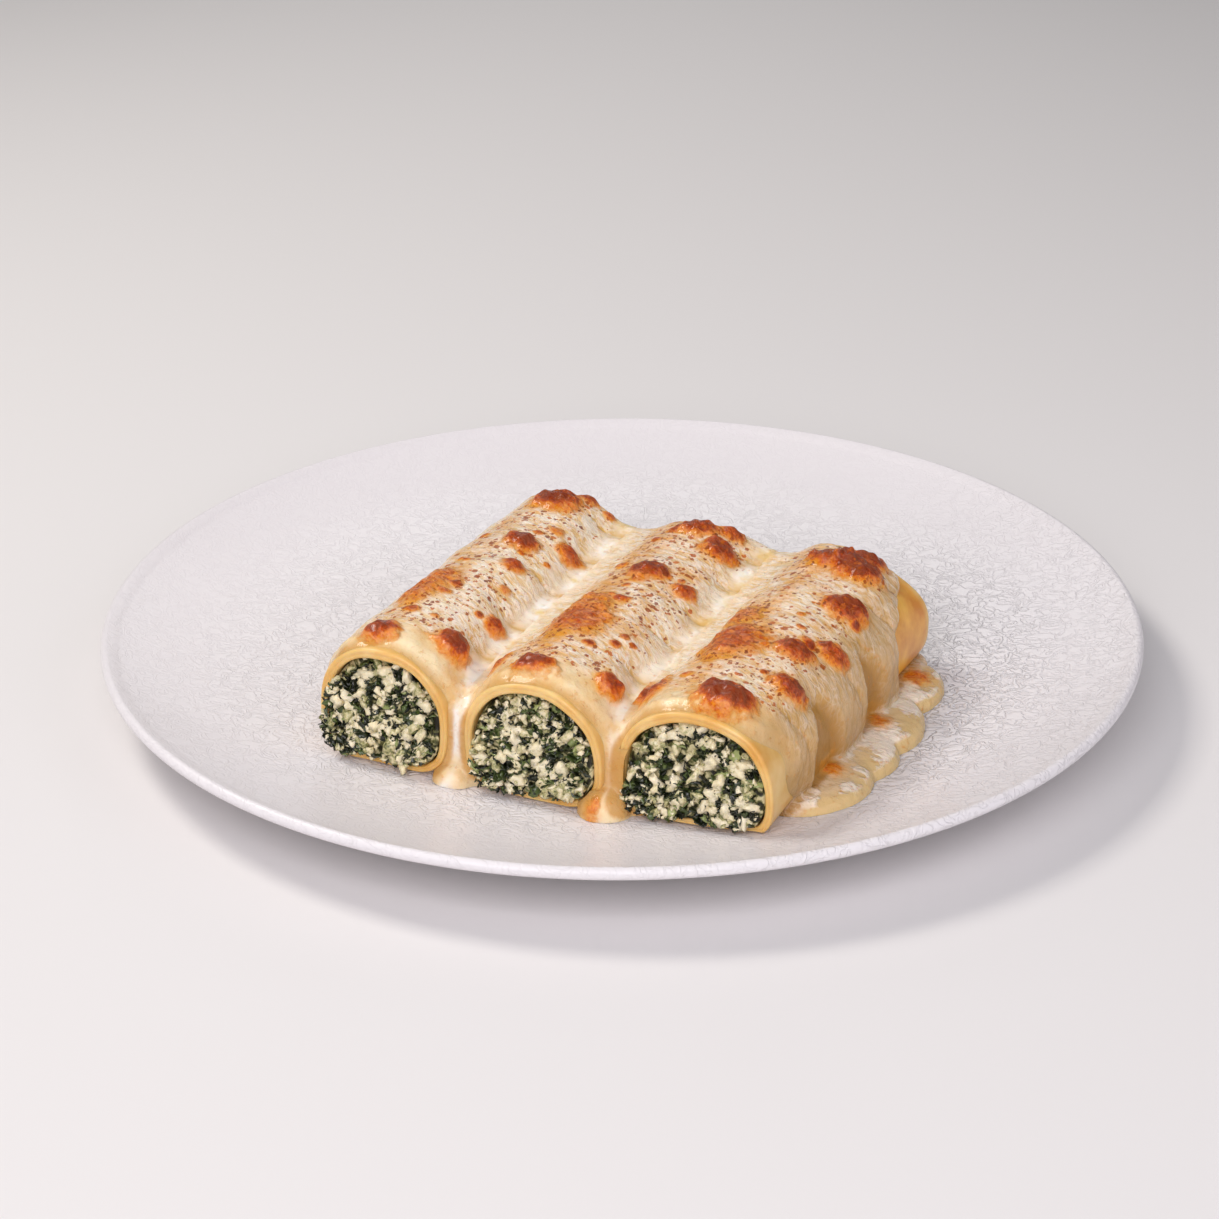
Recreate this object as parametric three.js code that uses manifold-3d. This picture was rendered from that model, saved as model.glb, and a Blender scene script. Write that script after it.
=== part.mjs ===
// Cannelloni gratinati: three rolled pasta tubes filled with spinach and curd cheese, lying side by side
// under one blanket of browned white sauce, on a round coupe plate.
// Millimetres, +Z up. The origin is the centre of the plate's foot, on the table. The tubes run along Y
// with their front ends at -Y, and the sauce has run out into a pool on their +X side.
import * as THREE from "three";
import { mergeVertices } from "three/addons/utils/BufferGeometryUtils.js";
import Module from "manifold-3d";

const wasm = await Module();
wasm.setup();
const { Manifold, Mesh } = wasm;

// ---- Driving dimensions -------------------------------------------------------------------------
const PLATE_RADIUS = 130;
const RIM_HEIGHT = 17.5;
const WELL_HEIGHT = 8; // upper face of the flat middle, above the table
const WELL_RADIUS = 75; // where the plate starts to rise
const RISE_POWER = 2.2; // how late the rise comes
const PLATE_WALL = 3.8;
const FOOT_RADIUS = 72;
const FOOT_WIDTH = 4;
const PLATE_SIDES = 64;

const GAP = 0.35; // between pieces that touch
const SHORT = 0.5; // an edge under this is closed up
const THIN = 0.08; // and a face thinner than this is swapped with its neighbour
const RAFT_X = 18; // middle tube's axis, from the plate's centre
const RAFT_FRONT = -83.5; // front ends of the tubes
const TUBE_LENGTH = 100;
const PASTA_WALL = 2; // layers of cooked sheet, at the tube's sides
const LAYERED = 0.5; // how much thicker it is on top, where the layers overlap, and thinner below
const WAIST = 0.42; // height of the widest place, as a share of the tube's height

// Each tube: axis from the raft's middle, width, height, how far its front end is set back and how much of
// its height the outer side of the back end has lost by sagging.
const TUBES = [
  { name: "left", x: -38.3, width: 33.5, height: 30, back: -1.2, sag: 0.01 },
  { name: "middle", x: 0, width: 34.6, height: 28.9, back: -0.9, sag: 0.02 },
  { name: "right", x: 38.6, width: 37.6, height: 28.7, back: 2.1, sag: 0.13 },
];

const CRUST = 1.9; // sauce on top of a tube
const SAUCE_START = 1.4; // bare pasta at the front end
const SAUCE_STOP = 1.2; // and at the back end
const BLISTER_RISE = 0.42; // a blister's height, as a share of its radius

// Toasted blisters by tube: place along it, angle round it in degrees, radius.
const BLISTERS = {
  left: [[6, 99, 4.6], [12, 51, 5], [29, 107, 5], [37, 104, 5], [29, 43, 3.6], [52, 69, 3.4], [64, 80, 4.4],
    [70, 47, 5], [90, 92, 6.4], [97, 74, 3.8]],
  middle: [[7, 97, 4.6], [12, 47, 4.2], [33, 102, 7], [43, 103, 4.6], [60, 62, 4], [63, 91, 4.8],
    [84, 64, 5.2], [91, 89, 5], [94, 68, 3.8]],
  right: [[10, 81, 6.4], [15, 140, 4.4], [23, 54, 5.4], [35, 106, 7], [37, 69, 5], [45, 46, 4.4],
    [50, 117, 4.4], [64, 63, 5.8], [83, 76, 6.4], [85, 94, 5], [92, 77, 4.4]],
};

// Sauce that hangs down the outer side of the right tube: middle and half width of each drape along it.
const DRAPES = [[17.5, 7.5], [45, 9.4], [70.5, 8.4]];

// Lobes of the pool beside the right tube: distance from the right tube's axis, place along, half sizes
// across and along, height.
const POOL_LOBES = [
  [15.2, 27, 13.8, 18.5, 4.6],
  [16.4, 55.5, 14.2, 19, 5.4],
  [15, 84, 12, 16.5, 4.8],
  [3, 99, 11, 6, 3.4],
];

// Blobs at the foot of the sauce between the tubes: which gap, front or back end, half sizes and height.
const BLOBS = [
  [0, 0, 5.4, 3.6, 4.4],
  [1, 0, 7, 6, 7.2],
  [0, 1, 7, 5, 6],
  [1, 1, 6, 4, 5],
];

// ---- Small helpers ------------------------------------------------------------------------------
const radians = (degrees) => (degrees * Math.PI) / 180;
const clamp01 = (t) => Math.min(1, Math.max(0, t));
const ease = (t) => clamp01(t) ** 2 * (3 - 2 * clamp01(t));
const signedPower = (value, power) => Math.sign(value) * Math.abs(value) ** power;

// Gentle unevenness from -1 to 1, by place.
const uneven = (a, b) => (Math.sin(a * 0.31 + b * 0.17) + Math.sin(a * 0.13 - b * 0.41 + 2)) / 2;

// Seeded draws from 0 to 1 (mulberry32).
function seededRandom(seed) {
  let state = seed;
  return () => {
    state = (state + 0x6d2b79f5) | 0;
    let mixed = Math.imul(state ^ (state >>> 15), 1 | state);
    mixed = (mixed + Math.imul(mixed ^ (mixed >>> 7), 61 | mixed)) ^ mixed;
    return ((mixed ^ (mixed >>> 14)) >>> 0) / 4294967296;
  };
}

// A closed three.js geometry as a solid.
function toSolid(geometry) {
  const bare = geometry.clone();
  bare.deleteAttribute("normal");
  bare.deleteAttribute("uv");
  const merged = mergeVertices(bare, 1e-4);
  const corners = merged.index.array;
  const kept = [];
  for (let i = 0; i < corners.length; i += 3) {
    const [a, b, c] = [corners[i], corners[i + 1], corners[i + 2]];
    if (a !== b && b !== c && c !== a) kept.push(a, b, c);
  }
  const vertProperties = new Float32Array(merged.attributes.position.array);
  return new Manifold(new Mesh({ numProp: 3, vertProperties, triVerts: new Uint32Array(kept) }));
}

// A solid as a three.js geometry.
function toGeometry(solid) {
  const mesh = solid.getMesh();
  const geometry = new THREE.BufferGeometry();
  geometry.setAttribute("position", new THREE.BufferAttribute(mesh.vertProperties, 3));
  geometry.setIndex(new THREE.BufferAttribute(mesh.triVerts, 1));
  geometry.computeVertexNormals();
  return geometry;
}

const joined = (solids) => solids.reduce((whole, solid) => whole.add(solid));

// The largest body of a solid, without loose scraps.
const largestBody = (solid) => solid.decompose().reduce((a, b) => (a.volume() > b.volume() ? a : b));

// Thickness of a triangle: its height over its longest side, and which side that is.
function thickness(corners) {
  const sides = corners.map((corner, i) => corner.distanceTo(corners[(i + 1) % 3]));
  const longest = sides.indexOf(Math.max(...sides));
  return { longest, height: (2 * new THREE.Triangle(...corners).getArea()) / sides[longest] };
}

// Cutting leaves edges too short and faces too thin to matter. Each short edge becomes one point, and each
// thin face swaps its long side with its neighbour.
function withoutSlivers(solid) {
  const { vertProperties, triVerts } = solid.getMesh();
  const points = [];
  for (let i = 0; i < vertProperties.length; i += 3) {
    points.push(new THREE.Vector3().fromArray(vertProperties, i));
  }
  const faces = [];
  for (let i = 0; i < triVerts.length; i += 3) faces.push([...triVerts.subarray(i, i + 3)]);
  const facesAt = points.map(() => new Set());
  faces.forEach((face, f) => face.forEach((v) => facesAt[v].add(f)));
  const around = (v) => new Set([...facesAt[v]].flatMap((f) => faces[f]));
  const cornersOf = (face) => face.map((v) => points[v]);
  const normalOf = (corners) => new THREE.Triangle(...corners).getNormal(new THREE.Vector3());

  function closeEdge(a, b) {
    const nearB = around(b);
    const shared = [...around(a)].filter((v) => v !== a && v !== b && nearB.has(v));
    if (shared.length !== 2) return false;
    const middle = points[a].clone().lerp(points[b], 0.5);
    const both = (f) => faces[f].includes(a) && faces[f].includes(b);
    const moved = [...facesAt[a], ...facesAt[b]].filter((f) => !both(f));
    for (const f of moved) {
      const before = cornersOf(faces[f]);
      const after = faces[f].map((v) => (v === a || v === b ? middle : points[v]));
      if (thickness(before).height > THIN && normalOf(before).dot(normalOf(after)) < 0.5) return false;
    }
    for (const f of [...facesAt[b]]) {
      if (faces[f].includes(a)) {
        faces[f].forEach((v) => facesAt[v].delete(f));
        faces[f] = null;
      } else {
        faces[f] = faces[f].map((v) => (v === b ? a : v));
        facesAt[a].add(f);
      }
    }
    facesAt[b].clear();
    points[a] = middle;
    return true;
  }

  function swapSide(f) {
    const { longest, height } = thickness(cornersOf(faces[f]));
    if (height > THIN) return false;
    const [a, b, c] = [0, 1, 2].map((i) => faces[f][(longest + i) % 3]);
    const g = [...facesAt[a]].find((other) => other !== f && faces[other].includes(b));
    const d = faces[g].find((v) => v !== a && v !== b);
    if (around(c).has(d)) return false;
    const swapped = [[a, d, c], [d, b, c]];
    const flat = normalOf(cornersOf(faces[g]));
    if (swapped.some((face) => thickness(cornersOf(face)).height <= height)) return false;
    if (swapped.some((face) => normalOf(cornersOf(face)).dot(flat) < 0.2)) return false;
    [f, g].forEach((old) => faces[old].forEach((v) => facesAt[v].delete(old)));
    [faces[f], faces[g]] = swapped;
    [f, g].forEach((made) => faces[made].forEach((v) => facesAt[v].add(made)));
    return true;
  }

  for (let pass = 0; pass < 6; pass++) {
    for (let f = 0; f < faces.length; f++) {
      for (let side = 0; side < 3 && faces[f]; side++) {
        const [a, b] = [faces[f][side], faces[f][(side + 1) % 3]];
        if (points[a].distanceTo(points[b]) < SHORT) closeEdge(a, b);
      }
      if (faces[f]) swapSide(f);
    }
  }
  const geometry = new THREE.BufferGeometry().setFromPoints(faces.filter(Boolean).flatMap(cornersOf));
  return toSolid(geometry);
}

// A closed solid through rings of points, which run counterclockwise as seen from the front end at -Y. A
// ring of one point is the tip of a cap.
function loft(rings) {
  const points = rings.flat();
  const starts = rings.map((ring, i) => rings.slice(0, i).reduce((sum, r) => sum + r.length, 0));
  const triangles = [];
  for (let i = 0; i + 1 < rings.length; i++) {
    const count = Math.max(rings[i].length, rings[i + 1].length);
    const near = (j) => starts[i] + (rings[i].length > 1 ? j % count : 0);
    const far = (j) => starts[i + 1] + (rings[i + 1].length > 1 ? j % count : 0);
    for (let j = 0; j < count; j++) {
      if (rings[i].length > 1) triangles.push(near(j), far(j), near(j + 1));
      if (rings[i + 1].length > 1) triangles.push(near(j + 1), far(j), far(j + 1));
    }
  }
  const geometry = new THREE.BufferGeometry();
  geometry.setAttribute("position", new THREE.Float32BufferAttribute(points.flat(), 3));
  geometry.setIndex(triangles);
  return geometry;
}

// ---- Plate --------------------------------------------------------------------------------------
function plateTop(radius) {
  const share = Math.max(0, (radius - WELL_RADIUS) / (PLATE_RADIUS - WELL_RADIUS));
  return WELL_HEIGHT + (RIM_HEIGHT - WELL_HEIGHT) * share ** RISE_POWER;
}

// A profile of [radius, height] points, turned about Z.
function turned(profile, sides) {
  const outline = profile.map(([radius, height]) => new THREE.Vector2(radius, height));
  return new THREE.LatheGeometry(outline, sides).rotateX(Math.PI / 2);
}

const topRadii = [WELL_RADIUS, 88, 99, 109, 118, 127.6];
const topProfile = topRadii.map((radius) => [radius, plateTop(radius)]);

function plateGeometry() {
  const lip = [[129.4, RIM_HEIGHT], [PLATE_RADIUS, RIM_HEIGHT - 0.8], [PLATE_RADIUS, RIM_HEIGHT - 2.1],
    [129.2, RIM_HEIGHT - 2.9]];
  const underside = [118, 99].map((radius) => [radius, plateTop(radius) - PLATE_WALL]);
  const foot = [
    [FOOT_RADIUS + FOOT_WIDTH, WELL_HEIGHT - PLATE_WALL],
    [FOOT_RADIUS + FOOT_WIDTH - 0.8, 0],
    [FOOT_RADIUS, 0],
    [FOOT_RADIUS - 0.8, WELL_HEIGHT - PLATE_WALL],
  ];
  const top = [[0, WELL_HEIGHT], ...topProfile, ...lip];
  const profile = [...top, ...underside, ...foot, [0, WELL_HEIGHT - PLATE_WALL]];
  return turned(profile.reverse(), PLATE_SIDES);
}

// What the food must stay clear of: the plate, raised by the gap.
function plateClearance() {
  const raised = [[0, WELL_HEIGHT], ...topProfile, [PLATE_RADIUS + 9, plateTop(PLATE_RADIUS + 9)]];
  const profile = raised.map(([radius, height]) => [radius, height + GAP]);
  return toSolid(turned([...profile, [PLATE_RADIUS + 9, -9], [0, -9]].reverse(), PLATE_SIDES));
}

// ---- Tubes --------------------------------------------------------------------------------------
// Place on a tube's rounded section, at an angle in degrees: [across, up from the plate], moved outwards.
function sectionPoint(tube, angle, outwards = 0) {
  const c = Math.cos(radians(angle));
  const s = Math.sin(radians(angle));
  const power = s > 0 ? 2 / 2.15 : 2 / 3.2;
  const centre = WAIST * tube.height;
  const reach = s > 0 ? tube.height - centre : centre;
  const across = (tube.width / 2 + outwards) * signedPower(c, power);
  return [across, centre + (reach + outwards) * signedPower(s, power)];
}

// A section point of a tube in the part's frame, lowered where the tube sags and lifted where the plate
// rises under it.
function placed(tube, [across, up], along, lift = 0) {
  const x = RAFT_X + tube.x + across;
  const y = RAFT_FRONT + tube.back + along;
  const floor = plateTop(Math.hypot(x, y)) + GAP + lift;
  const height = up * (1 - tube.sag * ease((along - 80) / 20) * ease((across + 8) / 20));
  return [x, y, Math.max(WELL_HEIGHT + GAP + height, floor)];
}

const roundAngles = (count) => Array.from({ length: count }, (_, i) => (360 * i) / count);

// How far inside a tube's outer face its wall ends, at an angle.
const wallAt = (angle) => PASTA_WALL + LAYERED * Math.sin(radians(angle));

const SECTION_SIDES = 34;

// A ring of a tube's section, moved outwards by an amount that may depend on the angle.
function ringAt(tube, along, outwards, lift = 0) {
  return roundAngles(SECTION_SIDES).map((angle) => {
    const grow = typeof outwards === "function" ? outwards(angle) : outwards;
    return placed(tube, sectionPoint(tube, angle, grow), along, lift);
  });
}

const centreOf = (tube, along) => placed(tube, [0, WAIST * tube.height], along);

// A tube's section swept from one place along it to another, as a solid. All sweeps share their inner
// stations, so that their faces stay the same distance apart where the plate rises under them.
const STATIONS = [0, 14, 34, 66, 86, TUBE_LENGTH];

function sweptTube(tube, from, to, outwards, lift = 0) {
  const between = STATIONS.filter((along) => along > from && along < to);
  const rings = [from, ...between, to].map((along) => ringAt(tube, along, outwards, lift));
  return toSolid(loft([[centreOf(tube, from)], ...rings, [centreOf(tube, to)]]));
}

// The rolled sheet, with its seam underneath.
function pastaSolid(tube) {
  const bore = sweptTube(tube, -2, TUBE_LENGTH + 2, (angle) => -wallAt(angle), PASTA_WALL - LAYERED);
  return sweptTube(tube, 0, TUBE_LENGTH, 0).subtract(bore);
}

// ---- Filling ------------------------------------------------------------------------------------
const FACE_SIDES = 18;
const FACE_RINGS = [1, 0.78, 0.55, 0.3];
const FLOOR_LIFT = PASTA_WALL - LAYERED + GAP;
const insideWall = (angle) => -wallAt(angle) - GAP;
const insideBore = (angle) => insideWall(angle) - 0.2;

// How far inside the tube's end the filling's face lies at a height: set back on top, bulging below.
const faceDepth = (tube, up) => -1.3 + 3.6 * ease((up - 5) / (tube.height - 9));

// A place on a face of the filling, at an angle and at a share of the way out to the wall. side is -1 at
// the front and 1 at the back, and `into` moves it into the tube.
function facePoint(tube, side, angle, share, into = 0) {
  const [across, up] = sectionPoint(tube, angle, insideBore(angle));
  const centre = WAIST * tube.height;
  const height = centre + (up - centre) * share;
  const depth = faceDepth(tube, height) + into;
  return placed(tube, [across * share, height], side < 0 ? depth : TUBE_LENGTH - depth, FLOOR_LIFT + 0.1);
}

// One uneven face of the filling, from its edge inwards.
const faceRings = (tube, side, random) =>
  FACE_RINGS.map((share) =>
    roundAngles(FACE_SIDES).map((angle) => {
      const bump = share < 1 ? random() - 0.5 : 0;
      return facePoint(tube, side, angle, share, bump);
    }),
  );

function lumpSolid(radii, place, random) {
  const lump = new THREE.IcosahedronGeometry(1, 0).rotateX(random() * 3).rotateZ(random() * 3);
  return toSolid(lump.scale(...radii).translate(...place));
}

// Curds and leaf scraps that stand out of a face: seeded low lumps spread over the section.
function faceLumps(tube, side, random) {
  const lumps = [];
  [5, 9].forEach((count, row) => {
    for (let i = 0; i < count; i++) {
      const share = [0.38, 0.78][row] + 0.1 * (random() - 0.5);
      const angle = (360 * (i + 0.4 * random())) / count + row * 25;
      const radius = 1.8 + 1.3 * random();
      const radii = [radius * 1.15, i % 3 === 0 ? 1.1 : 1.7, radius];
      lumps.push(lumpSolid(radii, facePoint(tube, side, angle, share, 0.3), random));
    }
  });
  return lumps;
}

// Filling that has spread over the lower edge of the front ring.
function spilledLumps(tube, random) {
  const lumps = [];
  for (let angle = tube.name === "left" ? 185 : 245; angle <= 285; angle += 20) {
    const reach = 0.9 + 0.4 * random();
    const out = GAP + 0.1 + reach;
    const place = placed(tube, sectionPoint(tube, angle, -2.8), -out);
    lumps.push(lumpSolid([2.3, reach, 1.7 + 0.3 * random()], place, random));
  }
  return lumps;
}

function fillingSolid(tube, index) {
  const random = seededRandom(11 + index);
  const front = faceRings(tube, -1, random).reverse();
  const back = faceRings(tube, 1, random);
  const insideRing = (along) =>
    roundAngles(FACE_SIDES).map((angle) =>
      placed(tube, sectionPoint(tube, angle, insideBore(angle)), along, FLOOR_LIFT + 0.1),
    );
  const inside = STATIONS.slice(1, -1).map(insideRing);
  const tips = [[facePoint(tube, -1, 0, 0)], [facePoint(tube, 1, 0, 0)]];
  const core = toSolid(loft([tips[0], ...front, ...inside, ...back, tips[1]]));
  const lumps = [...faceLumps(tube, -1, random), ...faceLumps(tube, 1, random)];
  const bore = sweptTube(tube, -5, TUBE_LENGTH + 5, insideWall, FLOOR_LIFT);
  const spilled = joined(spilledLumps(tube, random)).subtract(plateClearance());
  const filling = joined([core, ...lumps]).intersect(bore).add(spilled);
  return withoutSlivers(largestBody(filling));
}

// ---- Sauce --------------------------------------------------------------------------------------
// 1 inside a drape down to 0 in the bare gaps beside it, which narrow upwards.
const draped = (angle, along) =>
  Math.max(
    ...DRAPES.map(([middle, half]) => {
      const reach = half + 5 * ease((angle + 15) / 50);
      return ease((reach + 1.5 - Math.abs(along - middle)) / 3);
    }),
  );

// How much of the tube the sauce covers at an angle and a place along it: 1 full, 0 bare.
function cover(tube, angle, along) {
  const wave = 0.6 * uneven(angle * 0.3, tube.x);
  const flank = ease((58 - angle) / 45);
  const leftFlank = tube.name === "left" ? ease((angle - 130) / 50) : 0;
  const start = SAUCE_START + wave + flank * (tube.name === "right" ? 7.5 : 2.5) + 3 * leftFlank;
  const bareBack = tube.name === "right" ? 18 * ease((72 - angle) / 66) : 0;
  const stop = TUBE_LENGTH - SAUCE_STOP - wave - bareBack - 3 * leftFlank;
  const ends = Math.min(clamp01((along - start) / 2.6), clamp01((stop - along) / 2.6)) ** 0.5;
  const gaps = tube.name === "right" ? Math.max(draped(angle, along), ease((angle - 6) / 18)) : 1;
  const hem = 188 + 14 * Math.sin(along * 0.21 + 1);
  const skirt = tube.name === "left" ? ease((hem + 8 - angle) / 8) : 1;
  return Math.min(ends, gaps, skirt);
}

// Height of the blisters over the sauce at an angle and a place along a tube.
function blisterHeight(tube, angle, along) {
  const girth = (tube.width + tube.height) / 4;
  return BLISTERS[tube.name].reduce((sum, [middle, round, radius]) => {
    const distance = Math.hypot(along - middle, radians(angle - round) * girth) / radius;
    return sum + BLISTER_RISE * radius * Math.max(0, 1 - distance ** 2) ** 1.5;
  }, 0);
}

// The sauce over one tube: the tube's section grown by the sauce's depth, and sunk below the pasta's face
// where the pasta is bare.
function blanketOver(tube) {
  const angles = [];
  for (let angle = -75; angle < 255; angle += angle < -10 || angle >= 190 ? 18 : 10.5) angles.push(angle);
  const ends = [0.6, 1.6, 3.2, 5.4];
  const places = [...ends];
  for (let i = 1; i < 24; i++) places.push(5.4 + ((TUBE_LENGTH - 10.8) * i) / 24);
  places.push(...ends.reverse().map((inside) => TUBE_LENGTH - inside));
  const rings = places.map((along) =>
    angles.map((angle) => {
      const depth = CRUST + 0.4 * uneven(along, angle * 0.4) + blisterHeight(tube, angle, along);
      const hanging = tube.name === "right" ? 1.7 * ease((48 - angle) / 45) * draped(angle - 25, along) : 0;
      const outwards = -1 + (1 + depth + hanging) * cover(tube, angle, along);
      return placed(tube, sectionPoint(tube, angle, outwards), along);
    }),
  );
  return toSolid(loft([[centreOf(tube, places[0])], ...rings, [centreOf(tube, places[places.length - 1])]]));
}

// The gap between two neighbouring tubes: its middle and the places where its ends lie.
function gapBetween(index) {
  const [a, b] = [TUBES[index], TUBES[index + 1]];
  const middle = (a.x + a.width / 2 + b.x - b.width / 2) / 2;
  return { middle, back: (a.back + b.back) / 2 };
}

// The sauce that fills the valley between two tubes and runs down between their ends: place along, height
// above the plate in the middle and half width.
const VALLEY = [[0.4, 9, 4.6], [0.8, 15, 4.8], [2, 18, 6.5], [4.5, 20, 9.5], [9, 21.6, 10], [22, 23, 10],
  [40, 24, 10], [62, 23.6, 10], [84, 24.4, 10], [94, 24.2, 10], [97.5, 22.5, 9], [99.2, 17, 4.8],
  [99.6, 9, 4.6]];
const VALLEY_ACROSS = [1, 0.7, 0.35, 0, -0.35, -0.7, -1];
const VALLEY_HOLLOW = 0.034; // how fast the valley's top rises to its sides

function valleySolid(index) {
  const { middle, back } = gapBetween(index);
  const rings = VALLEY.map(([along, height, half]) => {
    const x = (share) => RAFT_X + middle + half * share;
    const y = RAFT_FRONT + back + along;
    const topAt = (share) => WELL_HEIGHT + height + VALLEY_HOLLOW * (half * share) ** 2;
    const top = VALLEY_ACROSS.map((share) => [x(share), y, topAt(share)]);
    const bottom = VALLEY_ACROSS.map((share) => [x(-share), y, WELL_HEIGHT - 1]);
    return [...top, ...bottom];
  });
  const tip = (ring) => [[RAFT_X + middle, ring[0][1], WELL_HEIGHT + 3]];
  return toSolid(loft([tip(rings[0]), ...rings, tip(rings[rings.length - 1])]));
}

// A drop of sauce that has spread on the plate: a round-edged low dome.
function domeSolid(x, y, halfAcross, halfAlong, height, sides = 20) {
  const profile = [[0, -3], [1, -3], [1, 0.3], [0.95, 0.62], [0.8, 0.86], [0.55, 0.97], [0, 1]].map(
    ([radius, share]) => [radius, share < 0 ? share : share * height],
  );
  const dome = turned(profile, sides).scale(halfAcross, halfAlong, 1);
  return toSolid(dome.translate(x, y, WELL_HEIGHT));
}

// A pool lobe follows the plate, which rises under it.
function poolSolids() {
  const right = TUBES[2];
  return POOL_LOBES.map(([across, along, halfAcross, halfAlong, height]) => {
    const x = RAFT_X + right.x + across;
    const y = RAFT_FRONT + right.back + along;
    const lift = plateTop(Math.hypot(x + halfAcross * 0.6, y)) - WELL_HEIGHT;
    return domeSolid(x, y, halfAcross, halfAlong, height + lift, 24);
  });
}

function blobSolids() {
  return BLOBS.map(([index, end, halfAcross, halfAlong, height]) => {
    const { middle, back } = gapBetween(index);
    const y = RAFT_FRONT + back + (end ? TUBE_LENGTH - 0.4 : 0.4);
    return domeSolid(RAFT_X + middle - 0.5, y, halfAcross, halfAlong, height, 18);
  });
}

function sauceSolid() {
  const shells = TUBES.map(blanketOver);
  const valleys = [valleySolid(0), valleySolid(1)];
  const tubes = TUBES.map((tube) => sweptTube(tube, -GAP, TUBE_LENGTH + GAP, GAP, -GAP));
  const boreWall = (angle) => GAP - wallAt(angle);
  const bores = TUBES.map((tube) => sweptTube(tube, -6, TUBE_LENGTH + 6, boreWall, FLOOR_LIFT - GAP));
  const whole = joined([...shells, ...valleys, ...poolSolids(), ...blobSolids()]);
  const cut = whole.subtract(joined([...tubes, ...bores])).subtract(plateClearance());
  return withoutSlivers(largestBody(cut));
}

// ---- Materials and assembly ---------------------------------------------------------------------
const porcelain = new THREE.MeshStandardMaterial({ color: 0xe6e2e4, roughness: 0.35, metalness: 0 });
const pasta = new THREE.MeshStandardMaterial({ color: 0xe8b765, roughness: 0.45, metalness: 0 });
const spinachCurd = new THREE.MeshStandardMaterial({ color: 0x6f7a55, roughness: 0.6, metalness: 0 });
const brownedSauce = new THREE.MeshStandardMaterial({ color: 0xe6c68a, roughness: 0.4, metalness: 0 });

const cannelloni = new THREE.Group();

function addPiece(name, geometry, material) {
  const piece = new THREE.Mesh(geometry, material);
  piece.name = name;
  cannelloni.add(piece);
}

addPiece("plate", plateGeometry(), porcelain);
TUBES.forEach((tube, index) => {
  addPiece(`pasta_${tube.name}`, toGeometry(pastaSolid(tube)), pasta);
  addPiece(`filling_${tube.name}`, toGeometry(fillingSolid(tube, index)), spinachCurd);
});
addPiece("sauce", toGeometry(sauceSolid()), brownedSauce);

export default cannelloni;
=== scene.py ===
"""Cannelloni under a browned white sauce, on a round porcelain plate.

Lengths are in millimetres and become metres as each piece is finished. +Z is up, the tubes lie along Y with
their front ends at -Y, and the sauce has run out on their +X side.
"""

import math
import random

import bmesh
import bpy
import numpy as np
from mathutils import Matrix, Quaternion, Vector, noise


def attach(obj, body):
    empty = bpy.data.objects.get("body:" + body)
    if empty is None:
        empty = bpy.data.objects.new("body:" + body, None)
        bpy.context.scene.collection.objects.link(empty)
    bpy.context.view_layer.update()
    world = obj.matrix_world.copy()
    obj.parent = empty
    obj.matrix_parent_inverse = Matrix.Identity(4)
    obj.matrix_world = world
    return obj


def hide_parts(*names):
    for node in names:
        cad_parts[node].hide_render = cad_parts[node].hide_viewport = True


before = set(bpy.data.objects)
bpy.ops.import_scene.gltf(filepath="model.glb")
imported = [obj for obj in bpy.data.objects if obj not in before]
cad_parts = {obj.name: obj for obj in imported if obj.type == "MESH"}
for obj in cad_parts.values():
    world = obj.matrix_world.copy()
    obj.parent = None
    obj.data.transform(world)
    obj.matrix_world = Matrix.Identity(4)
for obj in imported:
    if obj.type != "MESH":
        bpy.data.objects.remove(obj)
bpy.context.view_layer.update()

# ---- Table, light and camera --------------------------------------------------------------------
# The plate stands on a pale matt board. A soft window lights it from high on the left and a smaller light
# glints from behind, while white cards in front and on the right open the shadows.
MM = 0.001
BOARD_HALF = 3000
CAMERA_PLACE = (267.1, -555.3, 309.7)
CAMERA_AIM = (-8.4, 10.4, 10.0)
CAMERA_ROLL = -0.42  # degrees
CAMERA_LENS = 79.7
BOARD_COLOUR = "#e4e1e0"
ROOM_COLOUR = "#f1f1f4"
ROOM_STRENGTH = 0.25


def linear(hex_colour):
    """An sRGB hex colour as linear RGBA."""
    shares = [int(hex_colour[i:i + 2], 16) / 255 for i in (1, 3, 5)]
    return (*[s / 12.92 if s <= 0.04045 else ((s + 0.055) / 1.055) ** 2.4 for s in shares], 1)


def add_node(tree, kind, fields=None, inputs=None, stops=None):
    """Adds a shader node with its fields, its inputs (values, or nodes and outputs to link) and its ramp."""
    made = tree.nodes.new("ShaderNode" + kind)
    for name, value in (fields or {}).items():
        setattr(made, name, value)
    for name, value in (inputs or {}).items():
        if isinstance(value, bpy.types.Node):
            value = next(output for output in value.outputs if output.enabled)
        if isinstance(value, bpy.types.NodeSocket):
            tree.links.new(value, made.inputs[name])
        else:
            made.inputs[name].default_value = value
    for i, (position, colour) in enumerate(stops or []):
        stop = made.color_ramp.elements[i] if i < 2 else made.color_ramp.elements.new(position)
        stop.position = position
        stop.color = colour if isinstance(colour, tuple) else (colour, colour, colour, 1)
    return made


def new_material(name):
    """An empty material with its node tree."""
    material = bpy.data.materials.new(name)
    material.use_nodes = True
    material.node_tree.nodes.clear()
    return material, material.node_tree


board_bm = bmesh.new()
bmesh.ops.create_grid(board_bm, x_segments=1, y_segments=1, size=BOARD_HALF * MM)
board_mesh = bpy.data.meshes.new("board")
board_bm.to_mesh(board_mesh)
board_bm.free()
board = bpy.data.objects.new("board", board_mesh)
bpy.context.collection.objects.link(board)

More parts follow.
